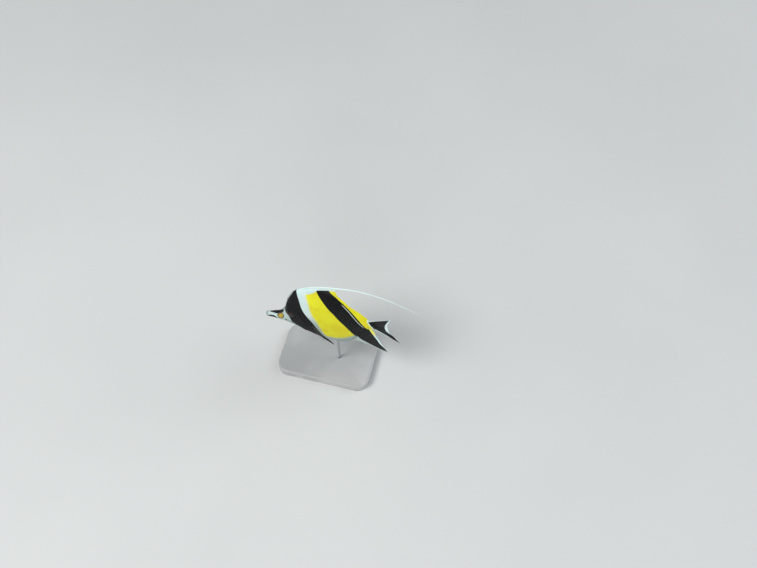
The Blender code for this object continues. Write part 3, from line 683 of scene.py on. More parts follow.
def skin(body, material):
    """The one skin over snout, jaw, head, gill covers, trunk and tail stalk."""
    rings, total = body.ring.shape[:2]
    points = body.ring.reshape(-1, 3)
    ends = [body.ring[0].mean(axis=0), body.ring[-1].mean(axis=0)]
    points = np.concatenate([points, ends])
    share = np.concatenate([np.arange(SIDE_POINTS), np.arange(SIDE_POINTS - 2, 0, -1)]) / (SIDE_POINTS - 1)
    faces, corners = [], []
    k = np.arange(total)
    following = (k + 1) % total
    left = k < SIDE_POINTS - 1
    for i in range(rings - 1):
        block = np.stack([k, following, following + total, k + total], axis=1) + i * total
        faces.append(block)
        near, far = (body.places[i], body.places[i + 1])
        ahead = [body.on_map(np.full(total, near), share[n], left) for n in (k, following)]
        back = [body.on_map(np.full(total, far), share[n], left) for n in (following, k)]
        corners.append(np.stack([*ahead, *back], axis=1))
    faces = np.concatenate(faces)[:, ::-1]
    corners = np.concatenate(corners)[:, ::-1].reshape(-1, 2)
    caps, cap_corners = [], []
    for ring, centre, x in ((0, len(points) - 2, 0.0), (rings - 1, len(points) - 1, body.places[-1])):
        for n in range(total):
            pair = [ring * total + n, ring * total + (n + 1) % total]
            caps.append([*(pair if ring == 0 else pair[::-1]), centre])
            cap_corners += [(0.02 + 0.92 * x + offset, 0.25) for offset in (0.0, 0.001, 0.002)]
    faces = [*faces.tolist(), *caps]
    corners = np.concatenate([corners, cap_corners])
    flesh = ("snout", "lower_jaw", "head", "gill_cover_left", "gill_cover_right", "trunk", "tail_stalk")
    marks = markings(points / SL)
    return dress("skin", points, faces, corners, material, "skin_yellow", flesh, **marks)


def scales(body, material):
    """Fine overlapping scales, one row against the next, from behind the saddle to the tail's root."""
    draw = np.random.default_rng(SCALE_SEED)
    step = SCALE_PITCH / SL * math.sqrt(3) / 2
    x, aside = [], []
    for row, place in enumerate(np.arange(FIRST_SCALE, LAST_SCALE, step)):
        half = np.interp(place, body.places, body.lengths) / 2 - SCALE_PITCH / SL * 0.6
        count = int(2 * half / (SCALE_PITCH / SL))
        rank = np.arange(-(count // 2) - 1, count // 2 + 2) + 0.5 * (row % 2)
        level = rank * SCALE_PITCH / SL
        level = level[np.abs(level) < half]
        x.append(np.full(len(level), place))
        aside.append(level)
    x, aside = np.concatenate(x), np.concatenate(aside)
    x = x + draw.normal(0, 0.05, len(x)) * step
    outline = np.array(SCALE_OUTLINE)
    skirt = outline[list(SCALE_SKIRT)] * (1, 1, 0) + (0, 0, SCALE_FLOOR)
    form = np.concatenate([outline, skirt])
    sides = len(outline)
    own_faces = [list(range(sides))]
    for k in range(len(SCALE_SKIRT) - 1):
        a, b = SCALE_SKIRT[k], SCALE_SKIRT[k + 1]
        own_faces.append([b, a, sides + k, sides + k + 1])
    points, faces, corners = [], [], []
    for left in (True, False):
        length = np.interp(x, body.places, body.lengths)
        root, _ = body.at(x, aside / length + 0.5, np.full(len(x), left))
        from_eye = np.hypot(root[:, 0] / SL - EYE_PLACE[0], root[:, 2] / SL - EYE_PLACE[1])
        keep = from_eye > EYE_RIM + 0.006
        for place in NOSTRILS:
            keep &= np.hypot(root[:, 0] / SL - place[0], root[:, 2] / SL - place[1]) > NOSTRIL_RADIUS * 2
        px, pa = x[keep], aside[keep]
        size = SCALE_PITCH / SL * 1.12 * draw.uniform(0.94, 1.06, len(px))
        vx = px[:, None] + form[None, :, 0] * size[:, None]
        va = pa[:, None] + form[None, :, 1] * size[:, None]
        share = va / np.interp(vx, body.places, body.lengths) + 0.5
        side = np.full(vx.size, left)
        where, out = body.at(vx.ravel(), share.clip(0.002, 0.998).ravel(), side)
        lift = np.tile(form[:, 2], len(px))[:, None] * MM
        base = sum(len(p) for p in points)
        points.append(where + out * lift)
        middle = body.on_map(px, pa / np.interp(px, body.places, body.lengths) + 0.5, np.full(len(px), left))
        patch = middle[:, None, :] + form[None, :, :2] * SCALE_PATCH
        for face in own_faces:
            order = face if not left else face[::-1]
            block = base + np.arange(len(px))[:, None] * len(form) + np.array(order)[None, :]
            faces.append(block)
            corners.append(patch[:, order].reshape(-1, 2))
    points = np.concatenate(points)
    faces = [row for block in faces for row in block.tolist()]
    marks = markings(points / SL)
    return dress("scales", points, faces, np.concatenate(corners), material, "skin_yellow", **marks)


def ray_pattern(rays, columns, rows):
    """1 on a ray and 0 on the membrane; each ray forks on its way out."""
    place = np.linspace(0, rays - 1, columns)[:, None]
    v = np.linspace(0, 1, rows)[None, :]
    off = np.abs(place - np.round(place))
    fork = RAY_FORK * ramp(v, FORK_START, 1.3)
    return ridge(off - fork, RAY_WIDTH * (1 - 0.35 * v))


def fin_thickness(rays, pattern, leading=True, flare=ROOT_FLARE):
    """Thickness grid in metres: rays over membrane, thicker at the root and thin at the edges."""
    rows = pattern.shape[1]
    v = np.linspace(0, 1, rows)[None, :]
    ray = RAY + (RAY_TIP - RAY) * v
    thick = MEMBRANE + (ray - MEMBRANE) * pattern
    thick = thick + (ROOT_THICKNESS - RAY) * np.clip(1 - v / flare, 0, 1) ** 2
    if leading:
        near = np.linspace(0, rays - 1, pattern.shape[0])[:, None]
        thick = thick + (LEADING_RAY - RAY) * ridge(near, 0.5) * (1 - 0.6 * v)
    thick[:, -1] = FIN_EDGE
    thick[-1] = np.minimum(thick[-1], FIN_EDGE * 2)
    return thick * MM


def fin(name, middle, thick, pattern, material, slot, **own_marks):
    """A closed sheet round a grid of straight middle points, in metres, that replaces the node of its name."""
    columns, rows = thick.shape
    across = unit(np.cross(np.gradient(middle, axis=0), np.gradient(middle, axis=1)))
    half = thick[..., None] / 2
    points = np.concatenate([(middle + across * half).reshape(-1, 3), (middle - across * half).reshape(-1, 3)])
    c, r = np.meshgrid(np.arange(columns - 1), np.arange(rows - 1), indexing="ij")
    a = (c * rows + r).ravel()
    quad = np.stack([a, a + rows, a + rows + 1, a + 1], axis=1)
    other = quad[:, ::-1] + columns * rows
    u, v = np.meshgrid(np.linspace(0, 1, columns), np.linspace(0, 1, rows), indexing="ij")
    one = np.stack([0.02 + 0.46 * u.ravel(), 0.02 + 0.96 * v.ravel()], axis=1)
    uv = np.concatenate([one, one + (0.5, 0)])
    rim = [*(k * rows for k in range(columns)), *((columns - 1) * rows + k for k in range(1, rows))]
    rim += [*(k * rows + rows - 1 for k in range(columns - 2, -1, -1)), *range(rows - 2, 0, -1)]
    rim = np.array(rim)
    following = np.roll(rim, -1)
    edge = np.stack([following, rim, rim + columns * rows, following + columns * rows], axis=1)
    faces = np.concatenate([quad, other, edge])
    flat = np.concatenate([uv[quad].reshape(-1, 2), uv[other].reshape(-1, 2)])
    # The narrow rim takes its colour from the first side
    thin = uv[np.stack([following, rim, rim, following], axis=1)].reshape(-1, 2)
    values = markings(points / SL)
    for key, number in own_marks.items():
        values[key] = np.full(len(points), number)
    values["ray"] = np.tile(pattern.ravel(), 2)
    values["outward"] = np.tile(v.ravel(), 2)
    return dress(name, points, faces, np.concatenate([flat, thin]), material, slot, (name,), **values)


def ray_grid(roots, tips, rows, pattern, bow=None):
    """Straight points on rays from roots to tips, drawn back a little between the rays at the edge."""
    v = np.linspace(0, 1, rows)[None, :, None]
    drawn = v * (1 - SCALLOP * (1 - pattern[:, -1:, None]) * v**6)
    grid = roots[:, None] * (1 - drawn) + tips[:, None] * drawn
    return grid if bow is None else grid + bow[:, None] * v**BOW_GATHER * (1 - v)


def side_points(x, z):
    x, z = np.atleast_1d(x), np.atleast_1d(z)
    return np.stack([x * SL, np.zeros(len(x)), z * SL], axis=1)


def median_fin(name, root_x, root_z, tips, bow, rays, rows, ripple, material, slot):
    """A fin of the middle plane, gently rippled."""
    columns = len(root_x)
    u = np.linspace(0, 1, columns)
    pattern = ray_pattern(rays, columns, rows)
    bows = side_points(np.zeros(columns), bow * (1 - u) ** BOW_FADE)
    middle = ray_grid(side_points(root_x, root_z), side_points(*smooth(tips, u).T), rows, pattern, bows)
    v = np.linspace(0, 1, rows)[None, :]
    height, waves, phase = ripple
    swell = np.sin(math.pi * u[:, None]) * v**1.6
    middle[..., 1] += height * MM * swell * np.sin(2 * math.pi * (waves * u[:, None] + phase + 0.15 * v))
    return fin(name, middle, fin_thickness(rays, pattern), pattern, material, slot)


def columns_of(rays):
    return (rays - 1) * RAY_COLUMNS + 1


def dorsal_fin(material):
    x = np.linspace(*DORSAL_ROOT, columns_of(DORSAL_RAYS))
    ripple = (0.55, 2.3, 0.1)
    root_z = top_at(x) - ROOT_SINK
    return median_fin(
        "dorsal_fin", x, root_z, DORSAL_TIPS, DORSAL_BOW, DORSAL_RAYS, DORSAL_ROWS, ripple, material, "skin_white"
    )


def anal_fin(material):
    x = np.linspace(*ANAL_ROOT, columns_of(ANAL_RAYS))
    ripple = (0.50, 1.6, 0.35)
    root_z = bottom_at(x) + ROOT_SINK
    return median_fin(
        "anal_fin", x, root_z, ANAL_TIPS, ANAL_BOW, ANAL_RAYS, ANAL_ROWS, ripple, material, "skin_black"
    )


def tail_fin(material):
    columns = columns_of(TAIL_RAYS)
    spread = np.linspace(-1, 1, columns)
    above = spread > 0
    # The upper edge's rays start a little way up the stalk
    root_x = TAIL_ROOT + (TAIL_TOP_ROOT - TAIL_ROOT) * np.clip(spread, 0, 1) ** 4
    share = TAIL_ROOT_SHARE + (TAIL_TOP_SHARE - TAIL_ROOT_SHARE) * np.clip(spread, 0, 1) ** 4
    root_z = np.abs(spread) * np.where(above, top_at(root_x), bottom_at(root_x)) * share
    pattern = ray_pattern(TAIL_RAYS, columns, TAIL_ROWS)
    roots = side_points(root_x, root_z)
    tip_z = np.abs(spread) * np.where(above, UPPER_LOBE[1], LOWER_LOBE[1])
    tips = side_points(tail_rear_edge(np.abs(spread), above), tip_z)
    middle = ray_grid(roots, tips, TAIL_ROWS, pattern)
    v = np.linspace(0, 1, TAIL_ROWS)[None, :]
    middle[..., 1] += 0.5 * MM * v**2 * np.sin(2 * math.pi * (1.4 * spread[:, None] + 0.1))
    thick = fin_thickness(TAIL_RAYS, pattern, leading=False, flare=TAIL_ROOT_FLARE)
    stout = ridge(np.abs(spread) - 1, 0.05)[:, None] * (1 - 0.75 * v)
    thick = thick + (LEADING_RAY - RAY) * MM * stout * (v < 1)
    return fin("tail_fin", middle, thick, pattern, material, "skin_black")


def pectoral_fin(word, side, material):
    """A rounded, nearly clear fan behind the gill cover, held out from the flank."""
    columns = columns_of(PECTORAL_RAYS)
    x, z = PECTORAL_ROOT
    centre = np.array([x * SL, side * (half_width_at(x, z) - ROOT_SINK / 2 * SL), z * SL])
    level = math.cos(PECTORAL_OUT)
    back = np.array(
        [level * math.cos(PECTORAL_DOWN), side * math.sin(PECTORAL_OUT), -level * math.sin(PECTORAL_DOWN)]
    )
    upward = np.array([math.sin(PECTORAL_DOWN), side * PECTORAL_LEAN, math.cos(PECTORAL_DOWN)])
    upward -= back * upward.dot(back)
    upward /= np.linalg.norm(upward)
    fan = np.linspace(1, -1, columns)
    away = (fan - PECTORAL_LONGEST) / (1 + PECTORAL_LONGEST)
    length = SL * PECTORAL_LENGTH * (1 - PECTORAL_ROUNDING * away**2 - PECTORAL_SLANT * (1 - fan))
    angle = fan[:, None] * PECTORAL_FAN
    roots = centre + fan[:, None] * upward * PECTORAL_ROOT_WIDTH * SL / 2
    tips = roots + (np.cos(angle) * back + np.sin(angle) * upward) * length[:, None]
    cup = np.tile(np.cross(back, upward) * side * SL * PECTORAL_CUP, (columns, 1))
    pattern = ray_pattern(PECTORAL_RAYS, columns, PAIRED_ROWS)
    middle = ray_grid(roots, tips, PAIRED_ROWS, pattern, cup)
    thick = fin_thickness(PECTORAL_RAYS, pattern)
    return fin(f"pectoral_fin_{word}", middle, thick, pattern, material, "fin_clear")


def pelvic_fin(word, side, material):
    """A narrow pointed fin folded back under the belly."""
    columns = columns_of(PELVIC_RAYS)
    u = np.linspace(0, 1, columns)[:, None]
    roots = side_points(*np.array(PELVIC_ROOT).T)
    roots = roots[:1] * (1 - u) + roots[1:] * u
    tips = side_points(*np.array(PELVIC_TIPS).T)
    tips = tips[:1] * (1 - u**PELVIC_CURVE) + tips[1:] * u**PELVIC_CURVE
    roots[:, 1] += side * PELVIC_ROOT_SIDE * SL * (1 - PELVIC_INWARD * u[:, 0])
    tips[:, 1] += side * PELVIC_TIP_SIDE * SL * (1 - PELVIC_INWARD * u[:, 0])
    pattern = ray_pattern(PELVIC_RAYS, columns, PAIRED_ROWS)
    middle = ray_grid(roots, tips, PAIRED_ROWS, pattern)
    thick = fin_thickness(PELVIC_RAYS, pattern)
    name = f"pelvic_fin_{word}"
    return fin(name, middle, thick, pattern, material, "skin_black", black=-1.0, saddle=1.0, line=1.0)


def tube(path, across, aside, sides, reference=(0, 1, 0)):
    """Points, faces and map corners of a closed tapered tube round a straight path, in metres."""
    path = np.asarray(path, float)
    forward = unit(np.gradient(path, axis=0))
    flat = unit(np.cross(np.array(reference, float), forward))
    third = np.cross(forward, flat)
    turn = np.arange(sides) * 2 * math.pi / sides
    ring = across[:, None, None] * np.cos(turn)[None, :, None] * flat[:, None]
    ring = ring + aside[:, None, None] * np.sin(turn)[None, :, None] * third[:, None] + path[:, None]
    points = np.concatenate([ring.reshape(-1, 3), path[:1], path[-1:]])
    k = np.arange(sides)
    following = (k + 1) % sides
    faces, corners = [], []
    for i in range(len(path) - 1):
        block = np.stack([k, following, following + sides, k + sides], axis=1) + i * sides
        faces += block[:, ::-1].tolist()
        low, high = i / (len(path) - 1), (i + 1) / (len(path) - 1)
        for n in range(sides):
            a, b = n / sides, (n + 1) / sides
            corners += [(a, high), (b, high), (b, low), (a, low)]
    first, last = len(points) - 2, len(points) - 1
    for n in range(sides):
        faces += [[n, (n + 1) % sides, first], [(len(path) - 1) * sides + (n + 1) % sides, (len(path) - 1) * sides + n, last]]
        corners += [(n / sides, 0), ((n + 1) / sides, 0), (n / sides, 0), (n / sides, 1), ((n + 1) / sides, 1), (n / sides, 1)]
    return points, faces, corners


def even_path(path, count, soften=0):
    """A path resampled at even steps of its length, after softening its corners."""
    path = np.asarray(path, float)
    for _ in range(soften):
        path[1:-1] = (path[:-2] + 2 * path[1:-1] + path[2:]) / 4
    run = np.concatenate([[0], np.cumsum(np.linalg.norm(np.diff(path, axis=0), axis=1))])
    even = np.linspace(0, run[-1], count)
    return np.stack([np.interp(even, run, path[:, k]) for k in range(3)], axis=1), even


def dorsal_filament(material):
    """The stout leading spine of the dorsal fin, drawn out into the long trailing filament."""
    v = np.linspace(0, 1, 120)
    root = side_points(DORSAL_ROOT[0], top_at(DORSAL_ROOT[0]) - ROOT_SINK)
    tip = side_points(*DORSAL_TIPS[0][1:])
    bow = side_points(0, DORSAL_BOW)
    edge = root * (1 - v[:, None]) + tip * v[:, None] + bow * (v**BOW_GATHER * (1 - v))[:, None]
    t = np.linspace(0, 1, 200)[1:, None]
    p0, p1, p2, p3 = (side_points(*place) for place in FILAMENT)
    trail = p0 * (1 - t) ** 3 + 3 * p1 * t * (1 - t) ** 2 + 3 * p2 * t**2 * (1 - t) + p3 * t**3
    edge_even, _ = even_path(edge, 120)
    trail_even, _ = even_path(np.concatenate([p0, trail]), 180)
    path, even = even_path(np.concatenate([edge_even, trail_even[1:]]), 260, soften=220)
    joint = np.linalg.norm(np.diff(edge_even, axis=0), axis=1).sum()
    past = np.clip((even - joint) / (even[-1] - joint), 0, 1)
    before = np.clip(even / joint, 0, 1)
    spine = SPINE_ROOT_RADIUS + (SPINE_NECK - SPINE_ROOT_RADIUS) * before
    thread = FILAMENT_ROOT + (FILAMENT_TIP - FILAMENT_ROOT) * past**FILAMENT_TAPER
    blend = ramp(even, joint * 0.85, joint * 1.12)
    radius = (spine * (1 - blend) + thread * blend) * MM
    radius[-12:] *= np.sqrt(np.linspace(1, 0.05, 12))
    flatness = 0.75 + (FILAMENT_FLATNESS - 0.75) * blend
    points, faces, corners = tube(path, radius, radius * flatness, 16)
    marks = markings(points / SL)
    for key in ("black", "saddle", "line", "pale"):
        marks[key] = np.full(len(points), 1.0)
    marks["grey"] = np.zeros(len(points))
    replaced = ("dorsal_filament_1", "dorsal_filament_2", "dorsal_filament_3")
    return dress("dorsal_filament", points, faces, corners, material, "skin_white", replaced, **marks)


def short_spine(number, place, height, material):
    """A short stiff spine in front of the dorsal fin."""
    level = top_at(place)[0]
    root = side_points(place, level - ROOT_SINK)[0]
    tip = side_points(place + height * SHORT_SPINE_LEAN[0], level + height * SHORT_SPINE_LEAN[1])[0]
    t = np.linspace(0, 1, 14)[:, None]
    lift = np.array([0, 0, 0.10 * height * SL])
    path = root * (1 - t) + tip * t + lift * t * (1 - t)
    radius = SHORT_SPINE_RADIUS * SL * (1 - t[:, 0]) ** 0.7 + 0.05 * MM
    points, faces, corners = tube(path, radius, radius, 12)
    marks = markings(points / SL)
    return dress(f"short_spine_{number}", points, faces, corners, material, "skin_black", **marks)


def horn(word, side, material):
    """The small bony horn in front of the eye, curled a little upward."""
    x, z = HORN_PLACE
    root = np.array([x * SL, side * half_width_at(x, z) * HORN_SINK, z * SL])
    lean = unit(np.array([HORN_LEAN[0], side * HORN_LEAN[1], HORN_LEAN[2]]))
    length = HORN_LENGTH * SL
    t = np.linspace(0, 1, 24)[:, None]
    path = root + lean * length * t + np.array([0, 0, -HORN_CURL * length]) * t * (1 - t)
    radius = HORN_RADIUS * SL * (1 - t[:, 0] ** 1.4) ** 0.8 + 0.12 * MM
    radius[0] *= 1.15
    points, faces, corners = tube(path, radius, radius, 20, reference=(0.3, 0.2, 0.9))
    name = f"horn_{word}"
    return dress(name, points, faces, corners, material, "skin_black", (name,), outward=np.append(np.repeat(t, 20), (0, 1)))


def eye(word, side, material):
    """An eyeball turned round its outward axis, with a slightly raised cornea over the pupil."""
    x, z = EYE_PLACE
    centre = np.array([x * SL, side * (half_width_at(x, z) + (EYE_BULGE - EYE_HALF_DEPTH) * SL), z * SL])
    segments, rings = 72, 48
    tilt = np.linspace(0, math.pi, rings)
    turn = np.arange(segments) * 2 * math.pi / segments
    radial = EYE_RADIUS * np.sin(tilt)
    out = EYE_HALF_DEPTH * np.cos(tilt) + 0.0016 * ridge(radial, 0.017) * (tilt < math.pi / 2)
    a = radial[:, None] * np.cos(turn)
    b = radial[:, None] * np.sin(turn)
    y = np.repeat(out[:, None], segments, axis=1)
    points = np.stack([a, side * y, b], axis=-1).reshape(-1, 3) * SL + centre
    k = np.arange(segments)
    following = (k + 1) % segments
    faces, corners = [], []
    for i in range(rings - 1):
        block = np.stack([k, following, following + segments, k + segments], axis=1) + i * segments
        faces += (block if side > 0 else block[:, ::-1]).tolist()
        low, high = i / (rings - 1), (i + 1) / (rings - 1)
        for n in range(segments):
            p, q = n / segments, (n + 1) / segments
            loop = [(p, low), (q, low), (q, high), (p, high)]
            corners += loop if side > 0 else loop[::-1]
    name = f"eye_{word}"
    distance = np.repeat(radial * np.where(tilt < math.pi / 2, 1, 3), segments)
    return dress(name, points, faces, corners, material, "eye", (name,), radial=distance)


class Shader:
    """A new material's nodes, added and linked in short calls."""

    def __init__(self, name):
        self.material = bpy.data.materials.new(name)
        self.material.use_nodes = True
        self.tree = self.material.node_tree
        self.surface = self.tree.nodes["Principled BSDF"]

    def set(self, **sockets):
        """Sets or links the surface's sockets; underscores stand for spaces."""
        for key, value in sockets.items():
            self.feed(self.surface.inputs[key.replace("_", " ")], value)

    def feed(self, socket, value):
        if isinstance(value, bpy.types.NodeSocket):
            self.tree.links.new(value, socket)
        elif isinstance(value, tuple) and len(value) == 3 and socket.type == "RGBA":
            socket.default_value = (*value, 1)
        else:
            socket.default_value = value

    def node(self, kind, output=0, inputs=(), **settings):
        made = self.tree.nodes.new(kind)
        for key, value in settings.items():
            setattr(made, key, value)
        for key, value in dict(inputs).items():
            self.feed(made.inputs[key], value)
        return made.outputs[output]

    def attribute(self, name, output="Fac"):
        return self.node("ShaderNodeAttribute", output, attribute_name=name)

    def noise(self, vector, scale, detail=3.0, roughness=0.5):
        inputs = {"Vector": vector, "Scale": scale, "Detail": detail, "Roughness": roughness}
        return self.node("ShaderNodeTexNoise", "Fac", inputs)

    def spread(self, value, low, high, start=0.0, end=1.0):
        """A value mapped smoothly from low..high to start..end."""
        inputs = {"Value": value, "From Min": low, "From Max": high, "To Min": start, "To Max": end}
        return self.node("ShaderNodeMapRange", 0, inputs, interpolation_type="SMOOTHSTEP")

    def math(self, operation, a, b=0.0):
        return self.node("ShaderNodeMath", 0, {0: a, 1: b}, operation=operation)

    def mix(self, share, a, b, blend="MIX"):
        made = self.tree.nodes.new("ShaderNodeMix")
        made.data_type = "RGBA"
        made.blend_type = blend
        for key, value in ((0, share), (6, a), (7, b)):
            self.feed(made.inputs[key], value)
        return made.outputs[2]

    def scaled(self, vector, factors):
        return self.node("ShaderNodeVectorMath", 0, {0: vector, 1: factors}, operation="MULTIPLY")

    def bump(self, height, strength, distance, normal=None):
        inputs = {"Height": height, "Strength": strength, "Distance": distance}
        if normal is not None:
            inputs["Normal"] = normal
        return self.node("ShaderNodeBump", 0, inputs)


def pattern_colour(shader):
    """The fish's colours from the marks that every piece carries; the same for skin, scales and fins."""
    place = shader.attribute("place", "Vector")
    ragged = shader.noise(place, 95.0, 4.0, 0.6)
    broad = shader.noise(place, 9.0, 3.0, 0.55)
    jitter = shader.math("MULTIPLY", shader.math("SUBTRACT", ragged, 0.5), EDGE_JITTER)

    def inside(distance):
        return shader.spread(shader.math("ADD", distance, jitter), -EDGE_SOFTNESS, EDGE_SOFTNESS, 1.0, 0.0)

    saddle_distance = shader.attribute("saddle")
    from_rim = shader.math("ABSOLUTE", shader.math("SUBTRACT", saddle_distance, SADDLE_RIM / 2))
    rim = inside(shader.math("SUBTRACT", from_rim, SADDLE_RIM / 2))
    from_line = shader.math("ABSOLUTE", shader.attribute("line"))
    line = inside(shader.math("SUBTRACT", from_line, shader.attribute("line_half")))
    yellow = shader.mix(shader.spread(broad, 0.35, 0.65, 0.0, 0.75), LEMON, DEEP_YELLOW)
    white = shader.mix(shader.spread(broad, 0.40, 0.70, 0.0, 0.35), WHITE, PALE_BLUE)
    # The grey mark greys the white, and paints shade over the face, under the head and along the lower edge
    white = shader.mix(shader.attribute("grey"), white, DUSK_AND_SHADE_WHITE)
    wash = shader.math("ADD", shader.attribute("pale"), shader.math("MULTIPLY", jitter, 30.0))
    ground = shader.mix(shader.spread(wash, 0.0, 1.0), yellow, white)
    saddle = shader.mix(shader.spread(saddle_distance, -0.014, 0.0), SADDLE_YELLOW, SADDLE_ORANGE)
    ground = shader.mix(inside(saddle_distance), ground, saddle)
    ground = shader.mix(line, ground, white)
    black = shader.mix(shader.spread(broad, 0.35, 0.7), BLACK, BROWN_BLACK)
    dark = shader.math("MAXIMUM", inside(shader.attribute("black")), rim)
    dark = shader.math("MULTIPLY", dark, shader.math("SUBTRACT", 1.0, line))
    return shader.mix(dark, ground, black), dark, ragged, place


def skin_material():
    shader = Shader("fish_skin")
    colour, dark, ragged, place = pattern_colour(shader)
    cells = shader.node(
        "ShaderNodeTexVoronoi", "Distance", {"Vector": shader.scaled(place, (1.0, 0.6, 1.0)), "Scale": 150.0}
    )
    freckle = shader.spread(cells, 0.15, 0.75, 0.0, 0.16)
    colour = shader.mix(freckle, colour, (0.30, 0.30, 0.26), "MULTIPLY")
    fine = shader.noise(place, 420.0, 3.0, 0.6)
    grain = shader.bump(fine, 0.35, 0.00025)
    normal = shader.bump(cells, 0.30, 0.00030, grain)
    rough = shader.math("ADD", shader.spread(ragged, 0.3, 0.7, 0.36, 0.48), shader.math("MULTIPLY", dark, 0.05))
    shader.set(Base_Color=colour, Roughness=rough, Normal=normal, Specular_IOR_Level=0.14)
    return shader.material


def scale_material():
    shader = Shader("fish_scales")
    colour, dark, ragged, place = pattern_colour(shader)
    fine = shader.noise(place, 520.0, 2.0, 0.6)
    colour = shader.mix(shader.spread(fine, 0.3, 0.75, 0.0, 0.18), colour, (0.45, 0.46, 0.42), "MULTIPLY")
    normal = shader.bump(fine, 0.30, 0.00018)
    rough = shader.math("ADD", shader.spread(ragged, 0.3, 0.7, 0.32, 0.44), shader.math("MULTIPLY", dark, 0.05))
    shader.set(Base_Color=colour, Roughness=rough, Normal=normal, Specular_IOR_Level=0.14)
    return shader.material


def fin_material():
    """Fins of the middle plane and the pelvics: the pattern, with rays a shade off their membrane."""
    shader = Shader("fish_fins")
    colour, dark, ragged, place = pattern_colour(shader)
    ray = shader.attribute("ray")
    outward = shader.attribute("outward")
    thin = shader.spread(outward, 0.0, 0.5, 0.10, 0.34)
    between = shader.math("MULTIPLY", shader.math("SUBTRACT", 1.0, ray), thin)
    colour = shader.mix(between, colour, (0.42, 0.46, 0.44), "MULTIPLY")
    lift = shader.math("MULTIPLY", shader.math("MULTIPLY", ray, dark), 0.12)
    colour = shader.mix(lift, colour, (0.034, 0.037, 0.043))
    fine = shader.noise(place, 300.0, 3.0, 0.6)
    normal = shader.bump(fine, 0.25, 0.00015)
    rough = shader.spread(ragged, 0.3, 0.7, 0.36, 0.50)
    shader.set(Base_Color=colour, Roughness=rough, Normal=normal, Specular_IOR_Level=0.14)
    return shader.material


def clear_fin_material():
    """The pectorals: nearly clear between fine pale rays, dusky at the root."""
    shader = Shader("clear_fin")
    place = shader.attribute("place", "Vector")
    ray, outward = shader.attribute("ray"), shader.attribute("outward")
    cloud = shader.noise(place, 60.0, 3.0, 0.5)
    membrane = shader.mix(shader.spread(cloud, 0.3, 0.7), (0.20, 0.21, 0.20), (0.15, 0.16, 0.15))
    colour = shader.mix(shader.spread(ray, 0.2, 0.9), membrane, (0.115, 0.120, 0.110))
    colour = shader.mix(shader.spread(outward, 0.04, 0.30, 0.95, 0.25), colour, (0.014, 0.015, 0.016))
    solid = shader.math("ADD", shader.spread(ray, 0.15, 0.9, 0.03, 0.16), shader.spread(outward, 0.03, 0.22, 0.25, 0.0))
    shader.set(Base_Color=colour, Roughness=0.35, Alpha=solid, Specular_IOR_Level=0.3)
    shader.set(Normal=shader.bump(cloud, 0.2, 0.0002))
    return shader.material


def eye_material():
    """A black pupil, a thin brassy ring, and a dark brown iris that blackens outward."""
    shader = Shader("fish_eye")
    radial = shader.attribute("radial")
    place = shader.attribute("place", "Vector")
    fleck = shader.noise(place, 260.0, 4.0, 0.65)
    iris = shader.mix(shader.spread(fleck, 0.3, 0.7), (0.016, 0.009, 0.006), (0.040, 0.022, 0.011))
    iris = shader.mix(shader.spread(radial, 0.0225, 0.0300), iris, (0.010, 0.008, 0.008))
    ring = shader.math("MULTIPLY", shader.spread(radial, 0.0172, 0.0177), shader.spread(radial, 0.0183, 0.0190, 1.0, 0.0))
    colour = shader.mix(ring, iris, (0.120, 0.078, 0.030))
    colour = shader.mix(shader.spread(radial, 0.0170, 0.0175, 1.0, 0.0), colour, (0.002, 0.002, 0.0025))
    shader.set(Base_Color=colour, Roughness=0.20, Specular_IOR_Level=0.16, Coat_Weight=0.20, Coat_Roughness=0.04)
    shader.set(Normal=shader.bump(fleck, 0.05, 0.0001))
    return shader.material


def horn_material():
    shader = Shader("horn")
    place, outward = shader.attribute("place", "Vector"), shader.attribute("outward")
    grain = shader.noise(shader.scaled(place, (1.0, 1.0, 3.0)), 160.0, 4.0, 0.6)
    colour = shader.mix(shader.spread(grain, 0.3, 0.7), (0.075, 0.080, 0.075), (0.125, 0.130, 0.120))
    colour = shader.mix(shader.spread(outward, 0.6, 1.0, 0.0, 0.6), colour, (0.28, 0.28, 0.25))
    shader.set(Base_Color=colour, Roughness=0.42, Normal=shader.bump(grain, 0.3, 0.0002))
    return shader.material


def paint_material():
    """Satin grey paint with a fine spatter, a little worn along its upper edge."""
    shader = Shader("stand_paint")
    place = shader.node("ShaderNodeTexCoord", "Object")
    speck = shader.noise(place, 900.0, 2.0, 0.6)
    cloud = shader.noise(place, 22.0, 3.0, 0.5)
    colour = shader.mix(shader.spread(cloud, 0.3, 0.7), (0.335, 0.345, 0.350), (0.370, 0.380, 0.382))
    colour = shader.mix(shader.spread(speck, 0.62, 0.72, 0.0, 0.25), colour, (0.48, 0.49, 0.49))
    edge = shader.node("ShaderNodeNewGeometry", "Pointiness")
    worn = shader.math("MULTIPLY", shader.spread(edge, 0.53, 0.60), shader.spread(cloud, 0.45, 0.6, 0.0, 0.6))
    colour = shader.mix(worn, colour, (0.62, 0.63, 0.63))
    rough = shader.spread(cloud, 0.3, 0.7, 0.36, 0.46)
    shader.set(Base_Color=colour, Roughness=rough, Normal=shader.bump(speck, 0.25, 0.00012))
    return shader.material


def steel_material():
    """Steel drawn along the rod."""
    shader = Shader("stand_steel")
    place = shader.node("ShaderNodeTexCoord", "Object")
    drawn = shader.noise(shader.scaled(place, (4200.0, 4200.0, 30.0)), 1.0, 2.0, 0.6)
    colour = shader.mix(shader.spread(drawn, 0.3, 0.7), (0.50, 0.51, 0.52), (0.62, 0.63, 0.64))
    rough = shader.spread(drawn, 0.3, 0.7, 0.24, 0.38)
    shader.set(Base_Color=colour, Roughness=rough, Metallic=1.0, Normal=shader.bump(drawn, 0.15, 0.00005))
    return shader.material


